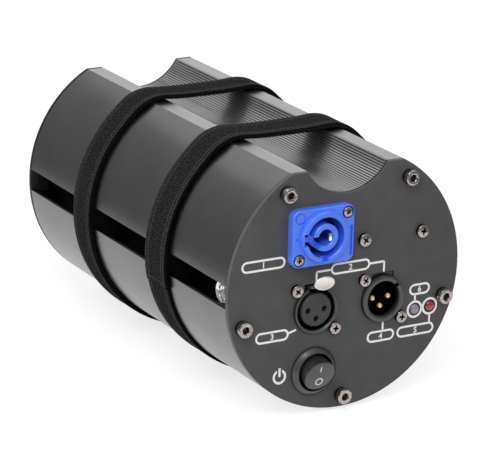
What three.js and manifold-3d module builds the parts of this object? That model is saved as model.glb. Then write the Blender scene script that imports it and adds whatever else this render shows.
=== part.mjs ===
// Signal splitter for stage lighting: a notched aluminium tube with a panel of sockets on each end.
// The notch sits against a truss tube, and two hook-and-loop straps hold it there.
// Millimetres, +Z up. The tube's axis runs along Y and the front panel faces -Y.
// The origin is on the ground, under the middle of the tube.

import * as THREE from 'three';
import { mergeVertices } from 'three/addons/utils/BufferGeometryUtils.js';
import Module from 'manifold-3d';

const wasm = await Module();
wasm.setup();

// Cuts run this far past the face they open, so no thin skin is left.
const overrun = 1;

// Clearances
const seatGap = 0.3;
const boreGap = 0.3;
const pinGap = 0.1;

// Body tube
const tubeRadius = 59;
const bodyLength = 196;
const tubeWall = 3;
const landDrop = 7.3;
const saddleDrop = 18.9;
const saddleRadius = 23.5;
const ribPitch = 1.22;
const ribDepth = 0.6;
const landHeight = tubeRadius - landDrop;
const saddleHeight = tubeRadius - saddleDrop + saddleRadius;
const saddleHalfAngle = Math.acos((saddleHeight - landHeight) / saddleRadius);

// Slots along both sides of the tube
const slotWidth = 9.4;
const slotLip = 2;
const slotChamfer = 0.8;
const channelWidth = 12.6;
const channelDepth = 7;
const channelTop = tubeRadius - slotLip;
const channelFloor = channelTop - channelDepth;
const slotWallFace = channelFloor - tubeWall;
const saddleWallFoot = tubeRadius - saddleDrop - ribDepth - tubeWall;

// Screw ports, which run the whole length of the tube
const portInset = 5.6;
const portRadius = 4;
const portBore = 2;
const portCircle = tubeRadius - portInset;
const topPortAngle = THREE.MathUtils.degToRad(35.5);
const sidePortAngle = THREE.MathUtils.degToRad(105.5);
const portAngles = [topPortAngle, -topPortAngle, -sidePortAngle, sidePortAngle, Math.PI];

// End plates
const plateThickness = 2;
const plateNotchStep = 0.3;
const tubeBack = plateThickness - bodyLength;

// Socket-head screws of the end plates
const capHeadRadius = 3.5;
const capHeadHeight = 4;
const capHeadChamfer = 0.4;
const capShankRadius = 1.7;
const capShankLength = 14;
const capHexRadius = 1.75;
const capHexDepth = 2;

// Cross-head screws of the panel parts
const panHeadRadius = 2.8;
const panHeadHeight = 2.1;
const panHeadRound = 0.55;
const panShankRadius = 1.2;
const panShankLength = 6.5;
const crossLength = 3.2;
const crossWidth = 0.8;
const crossDepth = 1.1;

// Power inlet on the front panel
const inletWidth = 31;
const inletHeight = 26;
const inletCorner = 3.5;
const inletThickness = 4.1;
const inletScrewSpan = 24;
const inletScrewRise = 19;
const inletHeadRadius = 2.3;
const inletPocketRadius = 3.4;
const inletPocketDepth = 1.8;
const inletBarrelRadius = 11.6;
const inletBarrelLength = 26;
const inletRingRadius = 11.4;
const inletRingHeight = 2.3;
const inletBoreRadius = 9.1;
const inletBoreDepth = 19;
const inletCoreRadius = 6.2;
const inletCoreStep = 0.2;
const inletCoreBore = 3.7;
const inletCoreBoreDepth = 13;
const inletMouthTop = 0.9;
const inletMouthBottom = 3.1;
const inletMouthKnee = 1.5;
const inletMouthFall = 0.7;
const inletMouthDepth = 5;
const inletSideKeyHeight = 5.6;
const inletFootKeyWidth = 3.2;
const inletFootKeyShift = -0.3;
const inletFootKeyDepth = 3;
const inletKeyReach = 1.9;
const contactWidth = 1.7;
const contactHeight = 3.2;
const contactLength = 12.9;

// Three-pole signal sockets on both panels
const socketRingRadius = 10.8;
const socketRingHeight = 1.6;
const socketBoreRadius = 9.5;
const socketBoreDepth = 18;
const socketLength = 20;
const socketScrewOffset = 9.9;
const socketScrewMargin = 2.3;
const socketFlangeThickness = 2.5;
const socketFlangeHalf = socketScrewOffset + socketScrewMargin;
const recessWidth = 11.4;
const recessTop = 12;

// Insert with the three contact holes
const insertRadius = 7.6;
const insertInset = 0.2;
const insertFace = socketRingHeight - insertInset;
const contactCircle = 4.1;
const contactHoleRadius = 1.25;
const contactHoleDepth = 11;
const insertKeyWidth = 2;
const insertKeyDepth = 1;
const contactAngles = [0, Math.PI, -Math.PI / 2];

// Release latch of a signal socket, and the room that it is pushed into
const latchTravel = 2;
const latchThickness = 1;
const latchWidth = 7.2;
const latchRootLength = 7;
const latchReach = 7.6;
const padWidth = 10.2;
const padHeight = 6;
const padCentre = 14.1;
const latchFoot = socketBoreRadius + pinGap;
const latchHead = padCentre - padHeight / 2 + latchThickness;
const recessSpare = 2;
const recessDepth = latchRootLength + latchTravel + recessSpare;

// Plug-shaped input socket on the front panel
const inputRingHeight = 1.7;
const inputBoreRadius = 8.1;
const inputBoreDepth = 14;
const inputFloorThickness = 6;
const inputNotchWidth = 2.4;
const inputNotchDepth = 1.2;
const inputNotchAngle = THREE.MathUtils.degToRad(45);
const tongueDrop = 0.6;
const contactPinRadius = 1.2;
const contactPinDrop = 2.4;
const contactPinTail = 4;

// Round rocker switch
const switchFlangeRadius = 11.1;
const switchFlangeHeight = 2.9;
const switchWallHeight = 1.1;
const switchCrestRadius = 8.9;
const switchBodyRadius = 10;
const switchBodyLength = 22;
const switchBoreRadius = 8.6;
const switchBoreDepth = 9;
const rockerRadius = 7.4;
const rockerRestTilt = THREE.MathUtils.degToRad(10);
const rockerPivotHeight = 2.5;
const rockerFoot = 5;
const rockerHigh = 5.2;
const rockerLow = 2.2;

// Indicator lamps
const lampRadius = 2.5;
const lampStand = 1.2;
const lampFlangeRadius = 2.9;
const lampFlangeThickness = 1;
const lampLength = 5.3;

// Bracket and boards inside the tube
const bracketWidth = 40;
const bracketHeight = 13;
const bracketThickness = 1.5;
const bracketShelf = 18;
const bracketScrewSpan = 30;
const bracketHeadRadius = 3;
const boardThickness = 1.6;
const boardMargin = 9;
const boardWidth = 2 * (slotWallFace - boardMargin);
const boardSetback = 8;
const chipHeight = 3.4;
const chipWidth = 7;
const chipLength = 16;
const chipRows = 6;
const outputBoardMargin = 3;
const outputBoardWidth = 2 * (slotWallFace - outputBoardMargin);
const outputBoardHeight = 56;
const outputBoardCorner = 12;
const converterWidth = 44;
const converterHeadroom = 5;
const converterLength = 70;
const converterStandoff = 2;
const converterFootInset = 4;

// Straps
const strapWidth = 17;
const strapThickness = 1.7;
const strapRest = 0.4;
const strapBend = 6;
const strapInnerBend = 1.5;
const frontStrapShare = 0.182;
const rearStrapShare = -0.195;
const frontOverlapShares = [0.63, 1.206];
const rearOverlapShares = [0.53, 0.836];

// Nut in the left slot
const nutRadius = 5.5;
const nutBore = 3;
const nutRing = 1.2;
const nutRingDepth = 0.6;
const nutInset = 9.2;

// Places on the front panel, as shares of the tube's radius: across, up
const inletShares = [-0.24, 0.392];
const thruShares = [-0.252, -0.19];
const inputShares = [0.332, -0.19];
const switchShares = [-0.253, -0.673];
const signalLampShares = [0.629, -0.325];
const powerLampShares = [0.764, -0.319];
const bracketShares = [0.406, 0.296];

// Rear panel: how the room left over by the sockets' flanges is shared out between them
const outputColumnGapShare = 0.53;
const outputTopGapShare = 0.62;
const outputFootGapShare = 0.15;
const outputColumn = 2 * socketFlangeHalf + outputColumnGapShare * (slotWallFace - 3 * socketFlangeHalf);
const outputFoot = -Math.sqrt((tubeRadius - tubeWall) ** 2 - (outputColumn + socketFlangeHalf) ** 2);
const outputSpare = saddleWallFoot - outputFoot - 4 * socketFlangeHalf;
const outputTopRow = saddleWallFoot - outputTopGapShare * outputSpare - socketFlangeHalf;
const outputFootRow = outputFoot + outputFootGapShare * outputSpare + socketFlangeHalf;

// Heights above the ground
const axisHeight = tubeRadius + seatGap + strapThickness - strapRest;

// Facets round each size of circle
const tubeSteps = 72;
const boreSteps = 20;
const screwSteps = 12;
const holeSteps = 8;

const finishes = {
  anodised: { color: 0x4a4a4c, roughness: 0.42, metalness: 0.85 },
  plate: { color: 0x454547, roughness: 0.7, metalness: 0.2 },
  nickel: { color: 0xc9bdb8, roughness: 0.3, metalness: 1 },
  inlet: { color: 0x3f6cf0, roughness: 0.4, metalness: 0 },
  contact: { color: 0xd8d8da, roughness: 0.25, metalness: 1 },
  black: { color: 0x1b1b1c, roughness: 0.45, metalness: 0 },
  insert: { color: 0x3a3a3b, roughness: 0.6, metalness: 0 },
  latch: { color: 0xe0d6cc, roughness: 0.35, metalness: 0.9 },
  gold: { color: 0xd9b65a, roughness: 0.25, metalness: 1 },
  lampGrey: { color: 0x9a98a8, roughness: 0.3, metalness: 0 },
  lampRed: { color: 0x9c1f30, roughness: 0.2, metalness: 0 },
  steel: { color: 0xb4b6b8, roughness: 0.35, metalness: 1 },
  board: { color: 0x1f5a34, roughness: 0.5, metalness: 0 },
  converter: { color: 0x202022, roughness: 0.6, metalness: 0 },
  strap: { color: 0x2e2e2f, roughness: 0.95, metalness: 0 },
};

// Closed solid from any closed geometry, without the slivers that meet a pole.
function solid(geometry) {
  const bare = geometry.index ? geometry.toNonIndexed() : geometry.clone();
  bare.deleteAttribute('normal');
  bare.deleteAttribute('uv');
  const merged = mergeVertices(bare);
  const corners = Array.from(merged.index.array);
  const faces = [];
  for (let i = 0; i < corners.length; i += 3) {
    const [a, b, c] = corners.slice(i, i + 3);
    if (a !== b && b !== c && c !== a) {
      faces.push(a, b, c);
    }
  }
  return new wasm.Manifold(new wasm.Mesh({
    numProp: 3,
    vertProperties: new Float32Array(merged.attributes.position.array),
    triVerts: new Uint32Array(faces),
  }));
}

function geometryOf(body) {
  const mesh = body.getMesh();
  const geometry = new THREE.BufferGeometry();
  geometry.setAttribute('position', new THREE.BufferAttribute(new Float32Array(mesh.vertProperties), 3));
  geometry.setIndex(new THREE.BufferAttribute(new Uint32Array(mesh.triVerts), 1));
  return geometry;
}

function joined(bodies) {
  return bodies.reduce((sum, body) => sum.add(body));
}

function cutBy(body, cutters) {
  return cutters.reduce((rest, cutter) => rest.subtract(cutter), body);
}

// Points round an arc, both ends included.
function arc(x, y, radius, from, to, steps) {
  const points = [];
  for (let i = 0; i <= steps; i += 1) {
    const angle = from + (to - from) * i / steps;
    points.push(new THREE.Vector2(x + radius * Math.cos(angle), y + radius * Math.sin(angle)));
  }
  return points;
}

function circle(x, y, radius, steps) {
  return arc(x, y, radius, 0, 2 * Math.PI, steps).slice(0, -1);
}

function rectangle(left, bottom, right, top) {
  return [
    new THREE.Vector2(left, bottom),
    new THREE.Vector2(right, bottom),
    new THREE.Vector2(right, top),
    new THREE.Vector2(left, top),
  ];
}

function roundedRectangle(width, height, corner, steps) {
  const x = width / 2 - corner;
  const y = height / 2 - corner;
  const quarter = Math.PI / 2;
  return [
    ...arc(x, y, corner, 0, quarter, steps),
    ...arc(-x, y, corner, quarter, 2 * quarter, steps),
    ...arc(-x, -y, corner, 2 * quarter, 3 * quarter, steps),
    ...arc(x, -y, corner, 3 * quarter, 4 * quarter, steps),
  ];
}

// Straight prism of an outline between two heights along Z.
function prism(points, back, front) {
  const geometry = new THREE.ExtrudeGeometry(new THREE.Shape(points), {
    depth: front - back,
    bevelEnabled: false,
  });
  return solid(geometry.translate(0, 0, back));
}

function cylinder(x, y, radius, back, front, steps) {
  return prism(circle(x, y, radius, steps), back, front);
}

function block(left, bottom, right, top, back, front) {
  return prism(rectangle(left, bottom, right, top), back, front);
}

// Solid turned round the Z axis, from points of radius and height.
function turned(profile, steps) {
  const points = profile.map(([radius, height]) => new THREE.Vector2(radius, height));
  const geometry = new THREE.LatheGeometry(points, steps);
  return solid(geometry.rotateX(Math.PI / 2).rotateZ(Math.PI / 2));
}

function place(group, x, y, z = 0) {
  const holder = new THREE.Group();
  holder.position.set(x, y, z);
  group.add(holder);
  return holder;
}

function addPiece(group, name, body, finish) {
  const mesh = new THREE.Mesh(geometryOf(body), new THREE.MeshStandardMaterial(finishes[finish]));
  mesh.name = name;
  group.add(mesh);
  return mesh;
}

// A point on a panel, across and up from the tube's axis.
function panelPoint(shares) {
  return shares.map((share) => share * tubeRadius);
}

// The rim of an end plate: the tube's circle with the two lands and the saddle between them.
function bodyRim() {
  const landAngle = Math.asin(landHeight / tubeRadius);
  return arc(0, 0, tubeRadius, Math.PI - landAngle, 2 * Math.PI + landAngle, tubeSteps * 5 / 6);
}

function saddleArc(radius, steps) {
  const start = -Math.PI / 2 + saddleHalfAngle;
  const end = -Math.PI / 2 - saddleHalfAngle;
  return arc(0, saddleHeight, radius, start, end, steps);
}

// The saddle's fine ribs: tips on its radius, valleys one rib deeper.
function ribbedSaddle() {
  const ribs = Math.round(2 * saddleHalfAngle * saddleRadius / ribPitch);
  const points = saddleArc(saddleRadius, 2 * ribs);
  const deeper = saddleArc(saddleRadius + ribDepth, 2 * ribs);
  return points.map((point, i) => (i % 2 ? deeper[i] : point));
}

function portPoints() {
  return portAngles.map((angle) => [portCircle * Math.sin(angle), portCircle * Math.cos(angle)]);
}

// Undercut slot through the tube's side; side is 1 on the right and -1 on the left.
function slotOutline(side) {
  const half = slotWidth / 2;
  const mouth = half + slotChamfer + overrun;
  const wide = channelWidth / 2;
  const upper = [
    [tubeRadius + overrun, mouth],
    [tubeRadius - slotChamfer, half],
    [channelTop, half],
    [channelTop, wide],
    [channelFloor, wide],
  ];
  const lower = upper.map(([x, y]) => [x, -y]).reverse();
  return [...upper, ...lower].map(([x, y]) => new THREE.Vector2(side * x, y));
}

function buildTube(panel) {
  const back = tubeBack;
  const front = -plateThickness;
  const outside = prism([...bodyRim(), ...ribbedSaddle()], back, front);
  const inner = tubeRadius - tubeWall;
  const slotHalf = channelWidth / 2 + tubeWall;
  const saddleWall = saddleRadius + ribDepth + tubeWall;
  const farBack = back - overrun;
  const farFront = front + overrun;
  const walls = [
    cylinder(0, saddleHeight, saddleWall, farBack, farFront, boreSteps * 2),
    block(-tubeRadius, landHeight - tubeWall, tubeRadius, tubeRadius, farBack, farFront),
    block(slotWallFace, -slotHalf, tubeRadius, slotHalf, farBack, farFront),
    block(-tubeRadius, -slotHalf, -slotWallFace, slotHalf, farBack, farFront),
    ...portPoints().map(([x, y]) => cylinder(x, y, portRadius, farBack, farFront, screwSteps)),
  ];
  const cavity = cutBy(cylinder(0, 0, inner, farBack, farFront, tubeSteps), walls);
  const ports = portPoints().map(([x, y]) => cylinder(x, y, portBore, farBack, farFront, holeSteps));
  const slots = [1, -1].map((side) => prism(slotOutline(side), farBack, farFront));
  addPiece(panel, 'housing_extrusion', cutBy(outside, [cavity, ...ports, ...slots]), 'anodised');
}

// Hole in a panel for a signal socket: its ring, and the recess above it.
function socketOpening(x, y) {
  const half = recessWidth / 2;
  const ring = cylinder(x, y, socketRingRadius + boreGap, -plateThickness - overrun, overrun, boreSteps);
  const recess = block(x - half, y, x + half, y + recessTop, -plateThickness - overrun, overrun);
  return ring.add(recess);
}

function throughHole(x, y, radius) {
  const steps = radius > capHeadRadius ? boreSteps : holeSteps;
  return cylinder(x, y, radius, -plateThickness - overrun, overrun, steps);
}

// The two screws of a signal socket stand on a diagonal.
function socketScrewPoints([x, y]) {
  return [
    [x - socketScrewOffset, y + socketScrewOffset],
    [x + socketScrewOffset, y - socketScrewOffset],
  ];
}

function inletScrewPoints([x, y]) {
  return [
    [x + inletScrewSpan / 2, y + inletScrewRise / 2],
    [x - inletScrewSpan / 2, y - inletScrewRise / 2],
  ];
}

function bracketScrewPoints([x, y]) {
  return [
    [x - bracketScrewSpan / 2, y],
    [x + bracketScrewSpan / 2, y],
  ];
}

function plateBlank() {
  const notch = saddleArc(saddleRadius + plateNotchStep, boreSteps);
  return prism([...bodyRim(), ...notch], -plateThickness, 0);
}

function rimHoles() {
  return portPoints().map(([x, y]) => throughHole(x, y, portBore + boreGap / 2));
}

function buildFrontPlate(panel) {
  const inlet = panelPoint(inletShares);
  const sockets = [thruShares, inputShares].map(panelPoint);
  const screws = [
    ...inletScrewPoints(inlet),
    ...sockets.flatMap(socketScrewPoints),
    ...bracketScrewPoints(panelPoint(bracketShares)),
  ];
  const lamps = [signalLampShares, powerLampShares].map(panelPoint);
  const holes = [
    ...rimHoles(),
    throughHole(...inlet, inletBarrelRadius + boreGap),
    throughHole(...panelPoint(switchShares), switchBodyRadius + boreGap),
    ...sockets.map(([x, y]) => socketOpening(x, y)),
    ...screws.map(([x, y]) => throughHole(x, y, panShankRadius + boreGap)),
    ...lamps.map(([x, y]) => throughHole(x, y, lampRadius + boreGap)),
  ];
  addPiece(panel, 'front_plate', cutBy(plateBlank(), holes), 'plate');
}

function outputPoints() {
  const columns = [-outputColumn, 0, outputColumn];
  return [outputTopRow, outputFootRow].flatMap((row) => columns.map((column) => [column, row]));
}

function buildRearPlate(panel) {
  const holes = [
    ...rimHoles(),
    ...outputPoints().map(([x, y]) => socketOpening(x, y)),
    ...outputPoints().flatMap(socketScrewPoints).map(([x, y]) => throughHole(x, y, panShankRadius + boreGap)),
  ];
  addPiece(panel, 'rear_plate', cutBy(plateBlank(), holes), 'plate');
}

function capScrew() {
  const rim = capHeadRadius - capHeadChamfer;
  const body = turned([
    [0, -capShankLength],
    [capShankRadius, -capShankLength],
    [capShankRadius, 0],
    [capHeadRadius, 0],
    [capHeadRadius, capHeadHeight - capHeadChamfer],
    [rim, capHeadHeight],
    [0, capHeadHeight],
  ], screwSteps);
  const socketFloor = capHeadHeight - capHexDepth;
  return body.subtract(cylinder(0, 0, capHexRadius, socketFloor, capHeadHeight + overrun, 6));
}

function buildRimScrews(panel, prefix) {
  portPoints().forEach(([x, y], i) => {
    addPiece(place(panel, x, y), `${prefix}_plate_screw_${i + 1}`, capScrew(), 'nickel');
  });
}

// Screw with a rounded rim and a cross recess, its head standing on Z = 0.
function panScrew(headRadius) {
  const body = turned([
    [0, -panShankLength],
    [panShankRadius, -panShankLength],
    [panShankRadius, 0],
    [headRadius, 0],
    [headRadius, panHeadHeight - panHeadRound],
    [headRadius - panHeadRound, panHeadHeight],
    [0, panHeadHeight],
  ], screwSteps);
  const arm = crossLength / 2;
  const half = crossWidth / 2;
  const floor = panHeadHeight - crossDepth;
  const top = panHeadHeight + overrun;
  return cutBy(body, [block(-arm, -half, arm, half, floor, top), block(-half, -arm, half, arm, floor, top)]);
}

function buildPanScrews(panel, prefix, points, height, headRadius) {
  points.forEach(([x, y], i) => {
    addPiece(place(panel, x, y, height), `${prefix}_screw_${i + 1}`, panScrew(headRadius), 'nickel');
  });
}

function buildInlet(panel) {
  const [x, y] = panelPoint(inletShares);
  const seat = place(panel, x, y);
  const face = inletThickness + inletRingHeight;
  const boreFloor = face - inletBoreDepth;
  const coreTop = face - inletCoreStep;
  const coreBoreFloor = coreTop - inletCoreBoreDepth;
  const mouthFloor = coreTop - inletMouthDepth;
  const keyWall = inletBoreRadius + inletKeyReach;
  const sideKey = inletSideKeyHeight / 2;
  const footLeft = inletFootKeyShift - inletFootKeyWidth / 2;
  const screws = inletScrewPoints([0, 0]);
  const pocketFloor = inletThickness - inletPocketDepth;
  const shell = joined([
    prism(roundedRectangle(inletWidth, inletHeight, inletCorner, 5), 0, inletThickness),
    cylinder(0, 0, inletBarrelRadius, -inletBarrelLength, inletThickness, boreSteps),
    cylinder(0, 0, inletRingRadius, 0, face, boreSteps),
  ]);
  const hollow = cylinder(0, 0, inletBoreRadius, boreFloor, face + overrun, boreSteps);
  const mouthEnd = inletCoreRadius + overrun;
  const mouth = [
    new THREE.Vector2(-mouthEnd, inletMouthTop),
    new THREE.Vector2(-mouthEnd, -inletMouthBottom - inletMouthFall * (mouthEnd - inletMouthKnee)),
    new THREE.Vector2(-inletMouthKnee, -inletMouthBottom),
    new THREE.Vector2(0, -inletMouthBottom),
    new THREE.Vector2(0, inletMouthTop),
  ];
  const core = cutBy(cylinder(0, 0, inletCoreRadius, boreFloor - overrun, coreTop, boreSteps), [
    cylinder(0, 0, inletCoreBore, coreBoreFloor, face, screwSteps),
    prism(mouth, mouthFloor, face),
  ]);
  const tie = block(-inletBoreRadius - overrun, -inletMouthBottom, -inletCoreBore - boreGap, inletMouthTop,
    boreFloor - overrun, mouthFloor);
  const cuts = [
    hollow,
    block(-keyWall, -sideKey, 0, sideKey, boreFloor, face + overrun),
    block(footLeft, -keyWall, footLeft + inletFootKeyWidth, 0, face - inletFootKeyDepth, face + overrun),
    ...screws.map(([sx, sy]) => cylinder(sx, sy, panShankRadius + boreGap, -overrun, face, holeSteps)),
    ...screws.map(([sx, sy]) => cylinder(sx, sy, inletPocketRadius, pocketFloor, face + overrun, screwSteps)),
  ];
  addPiece(seat, 'power_inlet_housing', joined([cutBy(shell, cuts), core, tie]), 'inlet');
  const contactRight = inletCoreBore * Math.cos(Math.asin(contactHeight / 2 / inletCoreBore)) - pinGap;
  const contact = block(contactRight - contactWidth, -contactHeight / 2, contactRight, contactHeight / 2,
    coreBoreFloor, coreBoreFloor + contactLength);
  addPiece(seat, 'power_inlet_contact', contact, 'contact');
  buildPanScrews(seat, 'power_inlet', screws, pocketFloor, inletHeadRadius);
}

// Square rear flange with its two screw holes, against the back of the panel.
function socketFlange() {
  const flange = block(-socketFlangeHalf, -socketFlangeHalf, socketFlangeHalf, socketFlangeHalf,
    -plateThickness - socketFlangeThickness, -plateThickness);
  const holes = socketScrewPoints([0, 0]).map(([x, y]) => (
    cylinder(x, y, panShankRadius + boreGap, -socketLength, 0, holeSteps)));
  return cutBy(flange, holes);
}

function socketShell() {
  const half = recessWidth / 2 - boreGap;
  const body = joined([
    cylinder(0, 0, socketRingRadius, -socketLength, socketRingHeight, boreSteps),
    socketFlange(),
    block(-half, 0, half, recessTop - boreGap, -plateThickness - recessDepth, -plateThickness),
  ]);
  const slotHalf = latchWidth / 2 + 2 * boreGap;
  return cutBy(body, [
    cylinder(0, 0, socketBoreRadius, -socketBoreDepth, socketRingHeight + overrun, boreSteps),
    block(-slotHalf, 0, slotHalf, recessTop - 3 * boreGap, -recessDepth, 0),
    block(-slotHalf, 0, slotHalf, recessTop + overrun, -plateThickness, socketRingHeight + overrun),
  ]);
}

function socketInsert() {
  const holes = contactAngles.map((angle) => (
    cylinder(contactCircle * Math.cos(angle), contactCircle * Math.sin(angle), contactHoleRadius,
      insertFace - contactHoleDepth, insertFace + overrun, holeSteps)));
  const keyHalf = insertKeyWidth / 2;
  const key = block(-keyHalf, insertRadius - insertKeyDepth, keyHalf, insertRadius + overrun,
    -socketBoreDepth - overrun, insertFace + overrun);
  const body = cylinder(0, 0, insertRadius, -socketBoreDepth, insertFace, boreSteps);
  return cutBy(body, [...holes, key]);
}

// Bent metal strip that ends in the oval push pad.
function socketLatch() {
  const half = latchWidth / 2;
  const padBack = latchReach - latchThickness;
  const lower = [
    [latchFoot, -latchRootLength],
    [latchFoot, 0],
    [latchHead, padBack],
    [latchHead, latchReach],
  ];
  const upper = lower.map(([y, z]) => [y + latchThickness, z]).reverse();
  const outline = [...lower, ...upper].map(([y, z]) => new THREE.Vector2(z, y));
  const strip = new THREE.ExtrudeGeometry(new THREE.Shape(outline), { depth: latchWidth, bevelEnabled: false });
  strip.translate(0, 0, -half).rotateY(-Math.PI / 2);
  const ring = circle(0, 0, padWidth / 2, boreSteps)
    .map((point) => new THREE.Vector2(point.x, padCentre + point.y * padHeight / padWidth));
  return solid(strip).add(prism(ring, padBack, latchReach));
}

function buildSocket(panel, prefix, [x, y], screwed) {
  const seat = place(panel, x, y);
  addPiece(seat, `${prefix}_shell`, socketShell(), 'black');
  addPiece(seat, `${prefix}_insert`, socketInsert(), 'insert');
  addPiece(seat, `${prefix}_latch`, socketLatch(), 'latch');
  if (screwed) {
    buildPanScrews(seat, prefix, socketScrewPoints([0, 0]), 0, panHeadRadius);
  }
}

function buildInputSocket(panel) {
  const seat = place(panel, ...panelPoint(inputShares));
  const half = recessWidth / 2 - boreGap;
  const floor = inputRingHeight - inputBoreDepth;
  const notchX = (inputBoreRadius + inputNotchDepth) * Math.cos(inputNotchAngle);
  const notchY = (inputBoreRadius + inputNotchDepth) * Math.sin(inputNotchAngle);
  const shell = cutBy(joined([
    cylinder(0, 0, socketRingRadius, floor - inputFloorThickness, inputRingHeight, boreSteps),
    socketFlange(),
    block(-half, 0, half, recessTop - boreGap, -plateThickness, -tongueDrop),
  ]), [
    cylinder(0, 0, inputBoreRadius, floor, inputRingHeight + overrun, boreSteps),
    block(notchX - inputNotchWidth, 0, notchX, notchY, floor, inputRingHeight + overrun),
    cylinder(0, 0, inputBoreRadius, floor - inputFloorThickness - overrun, floor + overrun, boreSteps),
  ]);
  const pins = contactAngles.map((angle) => [contactCircle * Math.cos(angle), contactCircle * Math.sin(angle)]);
  const bush = cutBy(
    cylinder(0, 0, inputBoreRadius - pinGap, floor - inputFloorThickness, floor, boreSteps),
    pins.map(([x, y]) => cylinder(x, y, contactPinRadius + pinGap, floor - inputFloorThickness - overrun,
      floor + overrun, holeSteps)),
  );
  addPiece(seat, 'input_socket_shell', shell, 'black');
  addPiece(seat, 'input_socket_insert', bush, 'insert');
  pins.forEach(([x, y], i) => {
    const pin = cylinder(0, 0, contactPinRadius, floor - inputFloorThickness - contactPinTail,
      inputRingHeight - contactPinDrop, holeSteps);
    addPiece(place(seat, x, y), `input_socket_pin_${i + 1}`, pin, 'gold');
  });
  buildPanScrews(seat, 'input_socket', socketScrewPoints([0, 0]), 0, panHeadRadius);
}

function buildSwitch(panel) {
  const seat = place(panel, ...panelPoint(switchShares));
  const bezel = turned([
    [0, -switchBodyLength],
    [switchBodyRadius, -switchBodyLength],
    [switchBodyRadius, 0],
    [switchFlangeRadius, 0],
    [switchFlangeRadius, switchWallHeight],
    [switchCrestRadius, switchFlangeHeight],
    [switchBoreRadius, switchFlangeHeight],
    [switchBoreRadius, -switchBoreDepth],
    [0, -switchBoreDepth],
  ], boreSteps);
  addPiece(seat, 'switch_bezel', bezel, 'black');
  const rocker = cylinder(0, 0, rockerRadius, -rockerFoot, rockerHigh + overrun, boreSteps);
  const face = [
    [-rockerRadius - overrun, rockerHigh + overrun * 2],
    [-rockerRadius - overrun, rockerLow],
    [rockerRadius + overrun, rockerHigh],
    [rockerRadius + overrun, rockerHigh + overrun * 2],
  ].map(([y, z]) => new THREE.Vector2(z, y));
  const reach = rockerRadius + overrun;
  const cut = new THREE.ExtrudeGeometry(new THREE.Shape(face), { depth: 2 * reach, bevelEnabled: false });
  cut.translate(0, 0, -reach).rotateY(-Math.PI / 2);
  const pivot = place(seat, 0, 0, rockerPivotHeight);
  pivot.rotation.x = rockerRestTilt;
  addPiece(pivot, 'switch_rocker', rocker.subtract(solid(cut)), 'black');
}

function lamp() {
  const flangeTop = -plateThickness - seatGap;
  const flangeBack = flangeTop - lampFlangeThickness;
  const shoulder = lampStand - lampRadius;
  const dome = arc(0, shoulder, lampRadius, 0, Math.PI / 2, 3).map((point) => [point.x, point.y]);
  dome[dome.length - 1] = [0, lampStand];
  return turned([
    [0, flangeBack - lampLength / 4],
    [lampRadius, flangeBack - lampLength / 4],
    [lampRadius, flangeBack],
    [lampFlangeRadius, flangeBack],
    [lampFlangeRadius, flangeTop],
    [lampRadius, flangeTop],
    ...dome,
  ], screwSteps);
}

function buildLamps(panel) {
  addPiece(place(panel, ...panelPoint(signalLampShares)), 'led_signal', lamp(), 'lampGrey');
  addPiece(place(panel, ...panelPoint(powerLampShares)), 'led_power', lamp(), 'lampRed');
}

// Bracket behind the front panel, the board on its shelf and the converter on the board.
function buildInside(panel, rear) {
  const [x, y] = panelPoint(bracketShares);
  const left = x - bracketWidth / 2;
  const right = x + bracketWidth / 2;
  const shelfTop = y - bracketHeight / 2;
  const front = -plateThickness;
  const holes = bracketScrewPoints([x, y]).map(([hx, hy]) => (
    cylinder(hx, hy, panShankRadius + boreGap, front - bracketThickness - overrun, front + overrun, holeSteps)));
  const bracket = cutBy(joined([
    block(left, shelfTop - bracketThickness, right, y + bracketHeight / 2, front - bracketThickness, front),
    block(left, shelfTop - bracketThickness, right, shelfTop, front - bracketShelf, front),
  ]), holes);
  addPiece(panel, 'board_bracket', bracket, 'steel');
  buildPanScrews(panel, 'bracket', bracketScrewPoints([x, y]), 0, bracketHeadRadius);

  const boardTop = shelfTop - bracketThickness - seatGap;
  const boardBottom = boardTop - boardThickness;
  const boardFront = -boardSetback;
  const outputBoardFront = -socketLength - seatGap;
  const outputBoardBack = outputBoardFront - boardThickness;
  const boardBack = seatGap - bodyLength - outputBoardBack;
  const chipPitch = (boardFront - boardBack) / (chipRows + 1);
  const chips = [];
  for (let row = 1; row <= chipRows; row += 1) {
    const chipBack = boardBack + row * chipPitch - chipLength / 2;
    chips.push(block(-chipWidth / 2, boardBottom - chipHeight, chipWidth / 2, boardBottom, chipBack,
      chipBack + chipLength));
  }
  const board = block(-boardWidth / 2, boardBottom, boardWidth / 2, boardTop, boardBack, boardFront);
  addPiece(panel, 'splitter_board', joined([board, ...chips]), 'board');

  const middle = (boardFront + boardBack) / 2;
  const converterFoot = boardTop + seatGap;
  const footHalf = converterWidth / 2 - converterFootInset;
  const converterBack = middle - converterLength / 2;
  const converterFront = middle + converterLength / 2;
  const caseBottom = converterFoot + converterStandoff;
  const caseTop = saddleWallFoot - converterHeadroom;
  const converter = joined([
    block(-converterWidth / 2, caseBottom, converterWidth / 2, caseTop, converterBack, converterFront),
    block(-footHalf, converterFoot, footHalf, caseBottom, converterBack + converterFootInset,
      converterFront - converterFootInset),
  ]);
  addPiece(panel, 'power_converter', converter, 'converter');

  const rowMiddle = (outputTopRow + outputFootRow) / 2;
  const rim = roundedRectangle(outputBoardWidth, outputBoardHeight, outputBoardCorner, 3)
    .map((point) => new THREE.Vector2(point.x, point.y + rowMiddle));
  addPiece(rear, 'output_board', prism(rim, outputBoardBack, outputBoardFront), 'board');
}

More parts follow.
